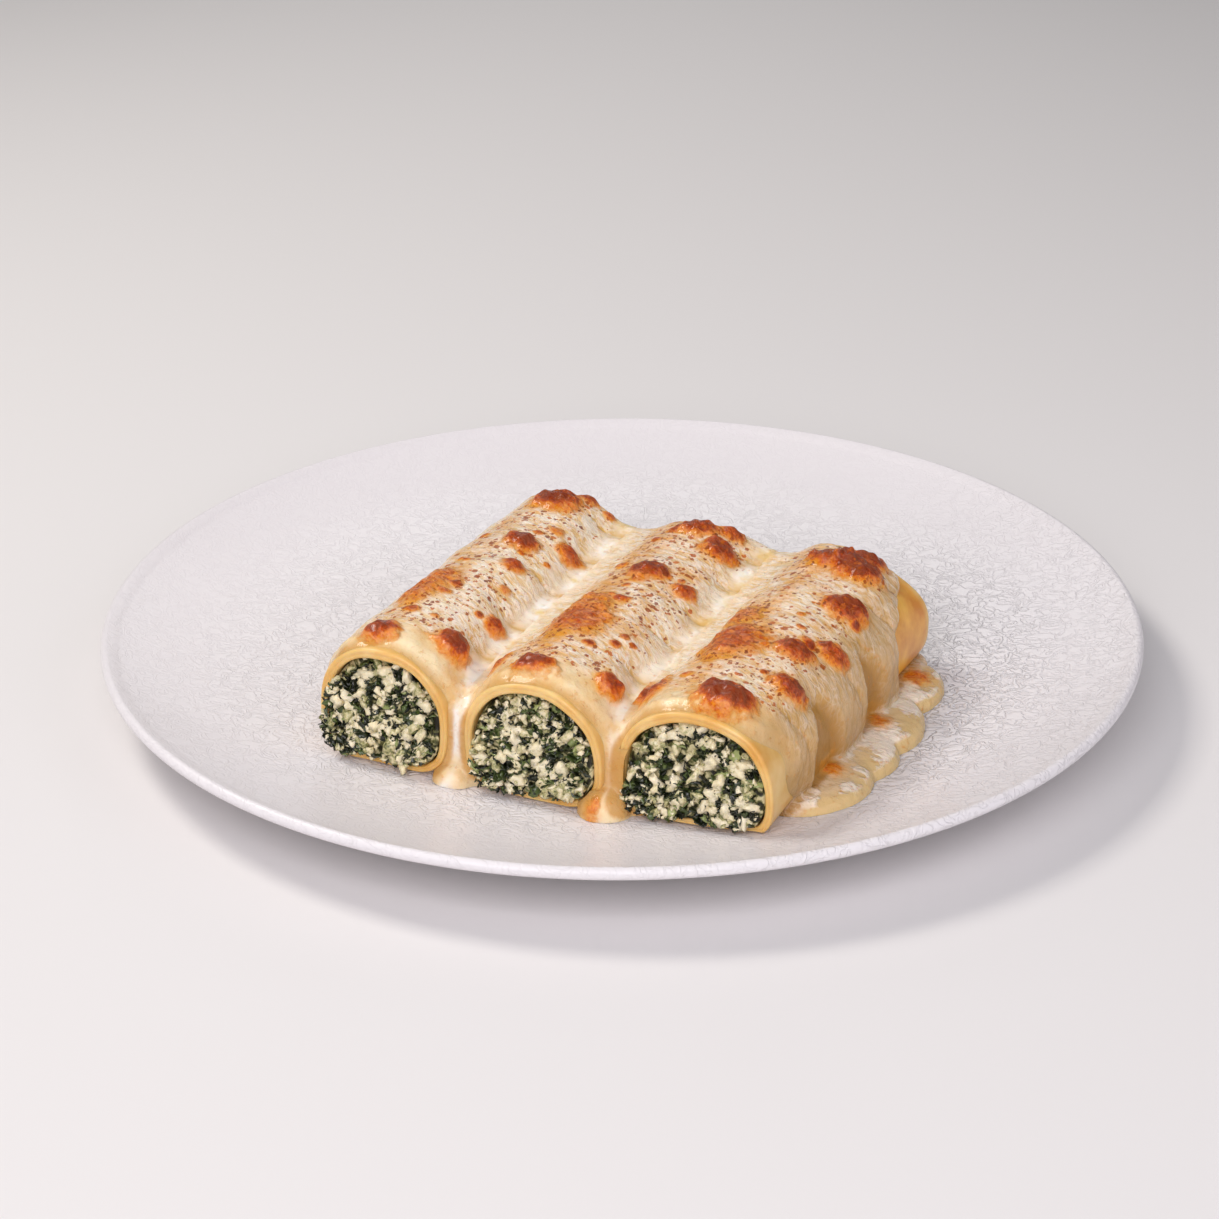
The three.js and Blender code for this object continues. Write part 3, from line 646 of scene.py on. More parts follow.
# ---- Sauce --------------------------------------------------------------------------------------
# Thick white sauce with grated cheese, poured over the tubes and browned under the grill. It hangs down
# their sides in drapes, fills the valleys between them, runs down between their ends and has pooled on the
# outer side. The skin has wrinkled, and blown up into toasted blisters.
CRUST = 1.9
OVERLAP = 0.6  # how far the sauce laps past a tube's ends
SUNK = 1.6  # how far inside the tube's outer face the sauce's blank lies where the tube is bare
FEATHER = 5  # how far the sauce takes to reach its full depth behind a tube's end
GRAIN = 0.45  # voxel of the melted whole
MELT_ROUNDS = 5  # of smoothing
VALLEY_ROUNDS = 30  # further rounds for the valleys alone
MOST_TRIANGLES = 194000

# Toasted blisters: place along the tube, angle round it, radius, rise over radius, how dark.
BLISTERS = {
    "left": [(6, 99, 4.4, 0.5, 0.95), (12, 51, 4.8, 0.6, 1.0), (29, 107, 5, 0.24, 0.52),
             (37, 104, 5, 0.2, 0.46), (29, 43, 3.2, 0.45, 0.75), (52, 69, 3.2, 0.3, 0.8),
             (64, 80, 4.2, 0.5, 1.0), (70, 47, 3.8, 0.45, 0.75), (90, 92, 6.2, 0.42, 1.0),
             (97, 74, 3.6, 0.4, 0.85)],
    "middle": [(7, 97, 4.6, 0.5, 0.95), (12, 47, 3.8, 0.55, 0.85), (14, 138, 3.4, 0.26, 0.7),
               (33, 102, 7, 0.18, 0.6), (43, 103, 4.6, 0.2, 0.4), (60, 60, 3.4, 0.45, 0.75),
               (63, 91, 4.6, 0.42, 1.0), (84, 64, 5, 0.5, 0.9), (91, 89, 4.8, 0.5, 0.9),
               (94, 68, 3.6, 0.45, 0.75)],
    "right": [(7.6, 80, 6.2, 0.48, 1.1), (15, 140, 4.4, 0.26, 0.85), (23, 54, 5, 0.5, 0.95),
              (35, 106, 7, 0.22, 0.66), (37, 69, 5, 0.45, 0.95), (45, 46, 4.2, 0.45, 0.7),
              (50, 117, 4.4, 0.22, 0.5), (64, 63, 5.6, 0.48, 1.0), (83, 76, 6.4, 0.46, 1.05),
              (85, 94, 5, 0.46, 1.05), (92, 77, 4.4, 0.45, 1.0)],
}
FLAT = 0.3  # a blister that rises less than this share is a long low patch
PATCH_STRETCH = 1.5
SMALL_BLISTERS = 15  # on each tube
# Bulges on each tube's right flank: from one to the next, and the first one's place.
BULGES = {"left": (18, 11.5), "middle": (16.5, 12.5), "right": (14.5, 8)}
BULGE_RISE = 1.1
# Middle and half width along the tube of each drape on the right flank.
DRAPES = [(12, 8.2), (42.4, 7.4), (67.8, 6.4)]
ARCH_FLARE = 6.4  # how much wider a drape is at each side by the arches' top
ARCH_TOP = 38  # angle above which the drapes have joined
ARCH_FILM = 0.57  # cover left in the arches between the drapes: a film of a few tenths of a millimetre
# Lobes of the pool: distance from the right tube's axis, place along, half sizes across and along, height.
POOL_LOBES = [(17, 29, 13.2, 17, 4.7), (17.5, 44, 13.7, 14, 4.9), (17.5, 60.5, 13.9, 16, 5.0),
              (15.5, 82, 13.2, 14.5, 4.6), (7, 96.5, 13, 7.6, 3.6)]
LOW = 17  # height below which the sauce lies on the plate
# Toasted spots on the pool and the front drop: place on the plate, radius, how dark.
POOL_SPOTS = [(77.2, -51.2, 3.6, 0.4), (78.7, -23.8, 3.4, 0.38), (78.2, 3, 4.2, 0.48),
              (34.6, -87.6, 2.2, 0.4)]
# Drops at the foot of the runs: which valley, front or back, half sizes and height.
DROPS = [(0, 0, 4.9, 3.6, 4.8), (1, 0, 6.3, 6, 7.4), (0, 1, 7, 5, 6), (1, 1, 6, 4, 5)]
# The valleys' sauce: place along, height in the middle, half width.
VALLEY = [(0.4, 9, 3.9), (0.8, 15, 4.3), (2, 18, 6.5), (4.5, 20, 9.5), (9, 21.8, 10), (22, 23.4, 10),
          (40, 24.2, 10), (62, 24.6, 10), (84, 26, 10), (94, 26.6, 10), (97.5, 25.4, 9), (99.2, 20, 4.8),
          (99.6, 9, 4.6)]
VALLEY_HOLLOW = 0.028
# A spread lobe and a drop: share of the radius, and share of the height or mm below the plate.
LOBE = [(0, -3), (1, -3), (1, 0.2), (0.985, 0.45), (0.94, 0.66), (0.86, 0.8), (0.7, 0.91), (0.4, 0.98),
        (0, 1)]
DROP = [(0, -3), (1, -3), (1, 0.16), (0.99, 0.3), (0.94, 0.46), (0.84, 0.62), (0.66, 0.78), (0.38, 0.93),
        (0, 1)]


def uneven(a, b):
    """Gentle unevenness from -1 to 1, by place."""
    return (np.sin(a * 0.31 + b * 0.17) + np.sin(a * 0.13 - b * 0.41 + 2)) / 2


def draped(angle, along):
    """1 inside a drape, 0 in the arches beside it, which narrow upwards. A drape's far edge is sharp."""
    widening = ARCH_FLARE * np.clip((angle + 10) / (ARCH_TOP + 10), 0, 1) ** 2.4
    shares = [np.minimum(ease((along - middle + half + widening + 2.2) / 4.4),
                         ease((middle + half + widening + 0.5 - along) / 1.0)) for middle, half in DRAPES]
    return np.max(shares, axis=0)


def cover(name, angle, along):
    """How much of the tube the sauce covers: 1 full, 0 bare."""
    tube = TUBES[name]
    outer = name == "right"
    wave = 0.6 * uneven(angle * 0.3, tube["x"])
    flank = ease((60 - angle) / 48)
    left_flank = ease((angle - 130) / 50) * (name == "left")
    # The edge draws back from both ends on the flanks, and leaves the right tube's back end bare outside.
    start = wave - OVERLAP + flank * (5.6 if outer else 2) + 3 * left_flank
    start = start + 9 * ease((8 - angle) / 40) * outer
    bare_back = 24.5 * ease((66 - angle) / 52) * outer
    stop = TUBE_LENGTH + OVERLAP - wave - bare_back - 3 * left_flank
    behind = (along - start) / (FEATHER + 7 * flank * outer)
    ends = np.clip(np.minimum(behind, (stop - along) / FEATHER), 0, 1) ** (0.7 - 0.2 * flank)
    drapes = np.maximum(draped(angle, along), ease((angle - ARCH_TOP + 4) / 8)) if outer else 1
    arches = ARCH_FILM + (1 - ARCH_FILM) * drapes
    hem = 188 + 14 * np.sin(along * 0.21 + 1)
    skirt = ease((hem + 8 - angle) / 8) if name == "left" else 1
    return np.minimum(np.minimum(ends, arches), skirt)


def blanket(name):
    """Presses a turned blank into the sauce over one tube."""
    def move(points):
        tube = TUBES[name]
        angle, radius, along = blank_polar(points)
        angle = np.where(angle < -90, angle + 360, angle)
        depth = CRUST + 0.4 * uneven(along, angle * 0.4)
        hanging = 0.8 * ease((46 - angle) / 36) * draped(angle, along) * ease((along - 16) / 16)
        hanging = hanging * (name == "right")
        outwards = (SUNK + depth + hanging) * cover(name, angle, along) - SUNK
        across, up = section_point(tube, angle, outwards)
        share = radius / BLANK_RADIUS
        return placed(tube, across * share, waist(tube) + (up - waist(tube)) * share, along)
    return move


def valley_middle(index):
    """Middle of the gap between two tubes, and how far its ends are set back."""
    a, b = list(TUBES.values())[index:index + 2]
    return (a["x"] + a["width"] / 2 + b["x"] - b["width"] / 2) / 2, (a["back"] + b["back"]) / 2


def filled_valley(index):
    """The sauce between two tubes: a lengthwise row of bridged sections with a hollow top."""
    bm = bmesh.new()
    middle, back = valley_middle(index)
    shares = np.linspace(-1, 1, 13)
    loops = []
    for along, height, half in VALLEY:
        x, y = RAFT_X + middle + half * shares, RAFT_FRONT + back + along
        top = [(px, y, WELL_HEIGHT + height + VALLEY_HOLLOW * (half * s) ** 2) for px, s in zip(x, shares)]
        foot = [(x[-1], y, WELL_HEIGHT - 1), (x[0], y, WELL_HEIGHT - 1)]
        verts = [bm.verts.new(point) for point in top + foot]
        loops.append([bm.edges.new(pair) for pair in zip(verts, verts[1:] + verts[:1])])
    for a, b in zip(loops, loops[1:]):
        bmesh.ops.bridge_loops(bm, edges=a + b)
    for ends in (loops[0], loops[-1]):
        bmesh.ops.contextual_create(bm, geom=ends)
    bmesh.ops.recalc_face_normals(bm, faces=bm.faces)
    return bm


def spread(profile, x, y, half_across, half_along, height):
    """A low heap of sauce that has spread on the plate."""
    bm = turned([(radius, share if share < 0 else share * height) for radius, share in profile], 48)
    bmesh.ops.scale(bm, vec=(half_across, half_along, 1), verts=bm.verts)
    bmesh.ops.translate(bm, vec=(x, y, WELL_HEIGHT), verts=bm.verts)
    return bm


parts = []
blanket_profile = [(0, 0.6), *[(BLANK_RADIUS, along) for along in np.linspace(0.6, TUBE_LENGTH - 0.6, 150)],
                   (0, TUBE_LENGTH - 0.6)]
for name in TUBES:
    blanket_bm = turned(blanket_profile, 160)
    reshape(blanket_bm, blanket(name))
    parts.append(blanket_bm)
parts += [filled_valley(0), filled_valley(1)]
for across, along, half_across, half_along, height in POOL_LOBES:
    x = RAFT_X + TUBES["right"]["x"] + across
    y = RAFT_FRONT + TUBES["right"]["back"] + along
    lift = float(plate_top(math.hypot(x + half_across * 0.6, y))) - WELL_HEIGHT
    parts.append(spread(LOBE, x, y, half_across, half_along, height + lift))
for index, end, half_across, half_along, height in DROPS:
    middle, back = valley_middle(index)
    y = RAFT_FRONT + back + (TUBE_LENGTH - 0.4 if end else 0.4)
    parts.append(spread(DROP, RAFT_X + middle - 1.3, y, half_across, half_along, height))


def shaped(source, modifier_kind, **settings):
    """The mesh that one modifier makes of an object."""
    modifier = source.modifiers.new("shaping", modifier_kind)
    for field, value in settings.items():
        setattr(modifier, field, value)
    seen = source.evaluated_get(bpy.context.evaluated_depsgraph_get())
    made = bpy.data.meshes.new_from_object(seen)
    source.modifiers.remove(modifier)
    return made


def loose_object(name, bm):
    """A helper object that is removed once it has done its work."""
    mesh = bpy.data.meshes.new(name)
    bm.to_mesh(mesh)
    bm.free()
    made = bpy.data.objects.new(name, mesh)
    bpy.context.collection.objects.link(made)
    return made


whole_bm = bmesh.new()
for part in parts:
    pour_in(whole_bm, part)
whole = loose_object("sauce_whole", whole_bm)
whole.data = shaped(whole, "REMESH", mode="VOXEL", voxel_size=GRAIN)
melted_bm = bmesh.new()
melted_bm.from_mesh(whole.data)
for _ in range(MELT_ROUNDS):
    bmesh.ops.smooth_vert(melted_bm, verts=melted_bm.verts, factor=0.5, use_axis_x=True, use_axis_y=True,
                          use_axis_z=True)


def tube_place(tube, points):
    """Angle and place along a tube of points in the object's frame, and how far they are off its surface."""
    across = points[:, 0] - RAFT_X - tube["x"]
    along = points[:, 1] - RAFT_FRONT - tube["back"]
    up = (points[:, 2] - WELL_HEIGHT - FOOD_GAP) / sagged(tube, across, along)
    reach, power = half_section(tube, up > waist(tube))
    c = signed_power(across / (tube["width"] / 2), 1 / power)
    s = signed_power((up - waist(tube)) / reach, 1 / power)
    angle = np.degrees(np.arctan2(s, c))
    off = (np.hypot(c, s) ** power - 1) * (tube["width"] + tube["height"]) / 4
    return np.where(angle < -90, angle + 360, angle), along, off


def nearest_tube(points):
    """For each point its tube's number, angle, place along and distance off the tube."""
    found = np.array([tube_place(tube, points) for tube in TUBES.values()])
    number = np.argmin(np.abs(found[:, 2]), axis=0)
    rows = np.arange(len(points))
    return number, found[number, 0, rows], found[number, 1, rows], found[number, 2, rows]


def wander(points, size):
    """Smooth noise from -1 to 1 at points, with waves of about a size in mm."""
    return np.array([noise.noise(point) for point in (points / size).tolist()])


girths = np.array([(tube["width"] + tube["height"]) / 4 for tube in TUBES.values()])


def unroll(number, angle, along, off):
    """The sauce laid out flat: round its tube, along it and off it, with the tubes side by side."""
    return np.stack([np.radians(angle) * girths[number] + 40 * number, along, off], axis=1)


blister_draw = random.Random(7)
for name in TUBES:
    for _ in range(SMALL_BLISTERS):
        BLISTERS[name].append((blister_draw.uniform(16, 97), blister_draw.uniform(48, 120),
                               blister_draw.uniform(0.9, 2.1), 0.32, blister_draw.uniform(0.45, 0.9)))


def blister_fields(points):
    """Height of the blisters, and how toasted the sauce is, at points of its surface."""
    number, angle, along, off = nearest_tube(points)
    rise, toast, halo = (np.zeros(len(points)) for _ in range(3))
    jitter = wander(points, 2.6) + 0.5 * wander(points, 1.1)
    lumps = 1 + 0.3 * wander(points, 1.9)
    for i, name in enumerate(TUBES):
        for middle, around, radius, lift, dark in BLISTERS[name]:
            stretch = PATCH_STRETCH if lift < FLAT else 1
            close = np.nonzero((number == i) & (np.abs(along - middle) < 2.6 * radius * stretch)
                               & (np.abs(angle - around) < 60))[0]
            arc_away = np.radians(angle[close] - around) * girths[i]
            reach = np.hypot((along[close] - middle) / stretch, arc_away) / radius
            near = reach * (1 + 0.2 * jitter[close])
            rise[close] += lift * radius * lumps[close] * np.maximum(0, 1 - np.minimum(near, 1) ** 2.2) ** 1.1
            toast[close] = np.maximum(toast[close], dark * (1 - ease((near - 0.3) / 0.9)))
            halo[close] = np.maximum(halo[close], 1 - ease((near - 0.75) / 0.55))
    for x, y, radius, dark in POOL_SPOTS:
        low = np.nonzero(points[:, 2] < LOW)[0]
        near = np.hypot(points[low, 0] - x, points[low, 1] - y) / radius * (1 + 0.3 * jitter[low])
        rise[low] += 0.12 * radius * np.maximum(0, 1 - near ** 2)
        toast[low] = np.maximum(toast[low], dark * (1 - ease((near - 0.3) / 0.8)))
        halo[low] = np.maximum(halo[low], 0.7 * (1 - ease((near - 0.6) / 0.9)))
    return rise, toast, halo


def bulge_field(number, angle, along):
    """Bulges of sauce that has slid down the right flanks: 1 on a bulge, 0 in the crease beside it."""
    spans, firsts = np.array(list(BULGES.values())).T
    bend = 2.4 * np.sin(np.radians(angle) * 2.6 + number * 2.4) + 1.3 * np.sin(along * 0.23 + number)
    turns = (along + bend - firsts[number]) / spans[number]
    return np.abs(np.cos(np.pi * turns)) ** 0.6


def bulge_share(angle, along):
    """Where the bulges are: on the right flanks, away from the tubes' front ends."""
    return ease((76 - angle) / 30) * ease((angle + 5) / 20) * ease((along - 6) / 8)


# The sauce in the valleys has settled smoother than the rest.
melted = np.array([vert.co for vert in melted_bm.verts])
number, angle, along, off = nearest_tube(melted)
between = (off > 1.5) & (melted[:, 2] > WELL_HEIGHT + 14) & (along > 7) & (melted[:, 0] < RAFT_X + 34)
low_verts = [vert for vert, inside in zip(melted_bm.verts, between) if inside]
for _ in range(VALLEY_ROUNDS):
    bmesh.ops.smooth_vert(melted_bm, verts=low_verts, factor=0.5, use_axis_x=True, use_axis_y=True,
                          use_axis_z=True)

# Blisters, bulges, slow swells, pebbles and fine wrinkles push the skin out.
melted = np.array([vert.co for vert in melted_bm.verts])
rise, _, _ = blister_fields(melted)
number, angle, along, off = nearest_tube(melted)
bulges = (bulge_field(number, angle, along) - 0.6) * bulge_share(angle, along) * BULGE_RISE
bulges *= np.where(number == 2, 1, ease((angle - 18) / 26))
wrinkles = 1 - 2 * np.abs(wander(unroll(number, angle, along, off) * (0.3, 1, 0.3), 2.1))
slow = 0.3 * wander(melted * (0.6, 1, 0.6), 7.5)
pebbles = 0.16 * wander(melted, 1.9) + 0.06 * wander(melted, 0.9)
skin_share = ease((along - 7) / 8) * (1 - ease((off - rise - 2) / 2.5))
lifts = rise + bulges + slow + pebbles + 0.13 * wrinkles * skin_share
lifts *= ease((off + 0.3) / 1.2)
melted_bm.normal_update()
for vert, lift in zip(melted_bm.verts, lifts):
    vert.co = vert.co + vert.normal * lift
melted_mesh = bpy.data.meshes.new("sauce_melted")
melted_bm.to_mesh(melted_mesh)
melted_bm.free()
whole.data = melted_mesh

# What the sauce must leave free: each tube with its bore, and the plate.
bore_steps = [(BLANK_RADIUS - 1, -7), (BLANK_RADIUS - 1, 0)]
cutter_profile = [(0, -7), *bore_steps, *[(BLANK_RADIUS, along) for along in np.linspace(0.02, 99.98, 41)],
                  (BLANK_RADIUS - 1, TUBE_LENGTH), (BLANK_RADIUS - 1, TUBE_LENGTH + 7), (0, TUBE_LENGTH + 7)]


def tube_cutter(tube):
    """Presses a turned blank into a tube's outer face, and past its ends into its bore."""
    def move(points):
        angle, radius, along = blank_polar(points)
        sunk = np.where((along < 0.01) | (along > TUBE_LENGTH - 0.01), -wall_at(angle), -0.12)
        across, up = section_point(tube, angle, sunk)
        on_axis = radius < 0.5
        return placed(tube, np.where(on_axis, 0, across), np.where(on_axis, waist(tube), up), along, -0.3)
    return move


cutters = []
for name, tube in TUBES.items():
    cutter_bm = turned(cutter_profile, 96)
    reshape(cutter_bm, tube_cutter(tube))
    cutters.append(loose_object("cutter_" + name, cutter_bm))
plate_cut = [(radius, float(plate_top(radius)) + 0.06) for radius in [0, *np.arange(WELL_RADIUS, 128, 3.0)]]
cutters.append(loose_object("cutter_plate", turned([*plate_cut, (128, -9), (0, -9)], 192)))
for cutter in cutters:
    whole.data = shaped(whole, "BOOLEAN", object=cutter, operation="DIFFERENCE", solver="MANIFOLD")
    bpy.data.objects.remove(cutter)
triangles = sum(len(face.vertices) - 2 for face in whole.data.polygons)
whole.data = shaped(whole, "DECIMATE", ratio=min(1, MOST_TRIANGLES / triangles))
sauce_bm = bmesh.new()
sauce_bm.from_mesh(whole.data)
bpy.data.objects.remove(whole)

# The fields that the material paints by, at every vertex of the finished skin.
points = np.array([vert.co for vert in sauce_bm.verts])
level = points[:, 2]
sauce_bm.normal_update()
upward = np.array([vert.normal.z for vert in sauce_bm.verts])
rise, toast, halo = blister_fields(points)
number, angle, along, off = nearest_tube(points)
on_right = number == 2
offs = [tube_place(tube, points)[2] for tube in TUBES.values()]
second_gap = points[:, 0] > RAFT_X
# From -1 by the left tube of a gap to 1 by its right one.
toward_right = (np.where(second_gap, offs[1], offs[0]) - np.where(second_gap, offs[2], offs[1])) / 8
seam = 1 - ease(np.abs(toward_right) / 0.35)
pool = ease((15.5 - level) / 3) * on_right * ease((off - 1) / 3) * (angle < 60)
valley = ease((off - rise - 1.7) / 2.3) * (1 - 0.8 * ease((toward_right + 0.4) / 0.7))
low_flank = ease((48 + 12 * wander(points, 5) - angle) / 22) * (number < 2) * ease((along - 5) / 6)
valley = np.maximum(valley, low_flank)
run_between = np.where(second_gap, 0.45, 1.0) * ease((off - 0.2) / 1.2) * (1 - ease((along - 3) / 4))
run_between *= (1 - ease((np.abs(toward_right) - 0.22) / 0.35)) * ease((level - 12) / 6)
run_between *= (angle > -20) * (points[:, 0] < RAFT_X + 30)
# The arches' thin film over the pasta, painted darker: partly the film's own tone, partly painted shade in
# the recess.
thin_and_shaded = (1 - draped(angle, along)) * ease((ARCH_TOP - angle) / 9) * on_right * ease((3.4 - off) / 1.5)
thin_and_shaded *= ease((level - 12) / 2.5)
skin_share = ease((along - 8) / 7)
calm_flank = np.where(on_right & (level > 15), 0.3 + 0.7 * ease((angle - 4) / 34), 1)
pool_skin = 1 - ease((0.9 - upward) / 0.25) * pool
top_skin = (1 - valley) * (1 - seam)
busy = np.array([0.75, 1.15, 1.1])[number]  # how many specks each tube has
toast_slope = np.where(on_right & (level < LOW), ease((upward - 0.6) / 0.3),
                       0.8 + 0.2 * ease((upward - 0.1) / 0.5))
fields = {
    "toast": toast * toast_slope,
    "halo": halo,
    "crown": ease((angle - 38) / 30) * ease((142 - angle) / 30) * skin_share * busy,
    "horizon": ease((angle - 86) / 16) * ease((150 - angle) / 30) * ease((along - 4) / 6),
    "skin": skin_share * (1 - thin_and_shaded) * calm_flank * np.where(level < 16, pool_skin, top_skin),
    # flank: tan of the thin sauce on the right flank, partly painted shade of that side
    "flank": ease((76 - angle) / 34) * on_right * (1 - pool),
    # foot: painted shade, darker low on the right flank towards the plate
    "foot": ease((22 - angle) / 40) * on_right * (1 - pool),
    "thin_and_shaded": thin_and_shaded,
    # hollow: the valleys and runs, painted whiter, partly settled sauce and partly painted sheen
    "hollow": np.maximum(valley * (1 - pool), run_between),
    # crease: painted shade in the creases between the bulges
    "crease": (1 - bulge_field(number, angle, along)) * bulge_share(angle, along),
    "pool": pool,
    # Golden line behind each ring: partly thin sauce, partly painted shadow of the ring on the sauce.
    "rim_gold_and_shadow": (1 - ease((along - 0.8) / 3.2)) * (1 - 0.9 * ease((off - 0.9) / 0.9)),
}
for name, values in fields.items():
    layer = sauce_bm.verts.layers.float.new(name)
    for vert, value in zip(sauce_bm.verts, values.tolist()):
        vert[layer] = value
flow_layer = sauce_bm.verts.layers.float_vector.new("flow")
for vert, spot in zip(sauce_bm.verts, (unroll(number, angle, along, off) * MM).tolist()):
    vert[flow_layer] = spot

# White sauce and cheese, poured and grilled: cream with a wrinkled skin, butter-yellow where it is thick,
# gold on the crowns and amber to brown on the blisters, all under a thin film of fat.
# Its colour holds painted light: sheen on the skin and in the valleys, highlights on the blisters, and shade
# in creases, arches and low flanks.
sauce_skin, tree = new_material("white_sauce_grilled")
place = add_node(tree, "TexCoord").outputs["Object"]
flow = add_node(tree, "Attribute", {"attribute_name": "flow"}).outputs["Vector"]
field = {name: add_node(tree, "Attribute", {"attribute_name": name}).outputs["Fac"] for name in fields}

# The body under the skin: butter-yellow, and whiter in the valleys: settled milky sauce with painted sheen
# over it.
cloud = add_node(tree, "TexNoise", inputs={"Vector": place, "Scale": cells_of(10.53), "Detail": 4,
                                          "Roughness": 0.6})
butter = add_node(tree, "ValToRGB", inputs={"Fac": cloud.outputs["Fac"]},
                  stops=[(0.36, linear("#f6e0b6")), (0.66, linear("#e8bb78"))])
valley_tone_and_sheen = add_node(tree, "ValToRGB", inputs={"Fac": cloud.outputs["Fac"]},
                       stops=[(0.5, linear("#fff8ee")), (0.64, linear("#f0d69c"))])
body = add_node(tree, "Mix", COLOURS, {0: field["hollow"], 6: butter, 7: valley_tone_and_sheen})
# Deeper tones over it: the field, how strong, the colour. Foot and crease are painted shade; thin, flank and
# rim are partly painted shade.
TONES = [("pool", 1, "#dcbc84"), ("rim_gold_and_shadow", 0.8, "#cc9444"), ("crease", 1, "#d0a24a"),
         ("flank", 0.75, "#c89a5a"), ("foot", 0.7, "#a97c3a"), ("crown", 0.35, "#e3aa5e"),
         ("thin_and_shaded", 1, "#b5843f")]
for name, strength, colour in TONES:
    tone_share = add_node(tree, "Math", MULTIPLY, {0: field[name], 1: strength})
    body = add_node(tree, "Mix", COLOURS, {0: tone_share, 6: body, 7: linear(colour)})

# The skin's hairs and streaks run down the slope, about 1 mm apart. Their whitish colour is partly the skin's
# own and partly painted sheen on the ridges of its wrinkles.
warp = add_node(tree, "TexNoise", inputs={"Vector": place, "Scale": cells_of(3.846)})
strand_map = add_node(tree, "Mapping", {"vector_type": "TEXTURE"},
                      {"Vector": flow, "Rotation": (0, 0, 0.4), "Scale": (2.4, 1.0, 2.4)})
strand_place = add_node(tree, "Mix", PLACES, {0: 0.0022, 4: strand_map, 5: warp.outputs["Color"]})
hair_map = add_node(tree, "Mapping", {"vector_type": "TEXTURE"},
                    {"Vector": flow, "Rotation": (0, 0, 0.45), "Scale": (4.5, 1.0, 4.5)})
hair_place = add_node(tree, "Mix", PLACES, {0: 0.0022, 4: hair_map, 5: warp.outputs["Color"]})
hairs = add_node(tree, "TexVoronoi", {"feature": "DISTANCE_TO_EDGE"},
                 {"Vector": hair_place, "Scale": cells_of(1.6667)})
hair = add_node(tree, "MapRange", inputs={"Value": hairs.outputs["Distance"], "From Max": 0.07, "To Min": 1.0,
                                          "To Max": 0.0})
streaks = add_node(tree, "TexNoise", inputs={"Vector": strand_place, "Scale": cells_of(1.4286), "Detail": 4,
                                            "Roughness": 0.7})
streak = add_node(tree, "MapRange", inputs={"Value": streaks.outputs["Fac"], "From Min": 0.42,
                                            "From Max": 0.58})
calm = add_node(tree, "MapRange", inputs={"Value": field["flank"], "To Min": 1.0, "To Max": 0.45})
streak_soft = add_node(tree, "Math", MULTIPLY, {0: streak, 1: calm})
skin_and_sheen_level = add_node(tree, "Math", {"operation": "MULTIPLY_ADD", "use_clamp": True},
                      {0: hair, 1: 0.5, 2: streak_soft})
# On the pool the skin is a closed sheet that has torn into blots.
blot = add_node(tree, "TexNoise", inputs={"Vector": place, "Scale": cells_of(8.333), "Detail": 3})
feathered = add_node(tree, "Math", MULTIPLY_ADD, {0: streaks.outputs["Fac"], 1: 0.4, 2: blot.outputs["Fac"]})
blots = add_node(tree, "MapRange", inputs={"Value": feathered, "From Min": 0.62, "From Max": 0.7})
patchy = add_node(tree, "Mix", inputs={0: field["pool"], 2: 1.0, 3: blots})
skin_here = add_node(tree, "Math", MULTIPLY, {0: patchy, 1: field["skin"]})
skin_and_sheen_full = add_node(tree, "Math", {"use_clamp": True}, {0: skin_and_sheen_level, 1: field["pool"]})
skin = add_node(tree, "Math", MULTIPLY, {0: skin_and_sheen_full, 1: skin_here})
skin_weight = add_node(tree, "MapRange", inputs={"Value": field["flank"], "To Min": 0.95, "To Max": 0.64})
skin_and_sheen_soft = add_node(tree, "Math", MULTIPLY, {0: skin, 1: skin_weight})
# Whitish skin: partly its own colour, partly painted sheen on the wrinkle ridges.
with_skin_and_sheen = add_node(tree, "Mix", COLOURS, {0: skin_and_sheen_soft, 6: body, 7: linear("#fdecd8")})

# Gold where the grill has caught the skin: in clouds on the crowns, along their left edge and round blisters.
patch = add_node(tree, "TexNoise", inputs={"Vector": place, "Scale": cells_of(6.6667), "Detail": 7,
                                          "Roughness": 0.74})
gold_crown = add_node(tree, "Math", MULTIPLY_ADD, {0: field["crown"], 1: 0.17, 2: patch.outputs["Fac"]})
gold_level = add_node(tree, "Math", MULTIPLY_ADD, {0: field["horizon"], 1: 0.17, 2: gold_crown})
gold_share = add_node(tree, "MapRange", inputs={"Value": gold_level, "From Min": 0.67, "From Max": 0.95,
                                                "To Max": 0.75})
halo_share = add_node(tree, "Math", MULTIPLY_ADD, {0: field["halo"], 1: 0.62, 2: gold_share})
golden = add_node(tree, "Mix", COLOURS, {0: halo_share, 6: with_skin_and_sheen, 7: linear("#e69c30")})

# Toast on the blisters, ragged at its edge and charred in spots, under a pale lattice where it is light:
# painted highlight on the lit wrinkles of the caps.
ragged = add_node(tree, "TexNoise", inputs={"Vector": place, "Scale": cells_of(1.923), "Detail": 5,
                                           "Roughness": 0.7})
ragged_level = add_node(tree, "Math", SUBTRACT, {0: ragged.outputs["Fac"], 1: 0.44})
toast_level = add_node(tree, "Math", MULTIPLY_ADD, {0: ragged_level, 1: 0.9, 2: field["toast"]})
charring = add_node(tree, "TexNoise", inputs={"Vector": place, "Scale": cells_of(0.7692), "Detail": 3,
                                             "Roughness": 0.6})
char_level = add_node(tree, "Math", SUBTRACT, {0: charring.outputs["Fac"], 1: 0.5})
toast_tone = add_node(tree, "Math", MULTIPLY_ADD, {0: char_level, 1: 0.85, 2: toast_level})
toasted = add_node(tree, "ValToRGB", inputs={"Fac": toast_tone},
                   stops=[(0.18, linear("#e99a24")), (1.0, linear("#842b02")), (0.42, linear("#dc7c0a")),
                          (0.7, linear("#ba4803"))])
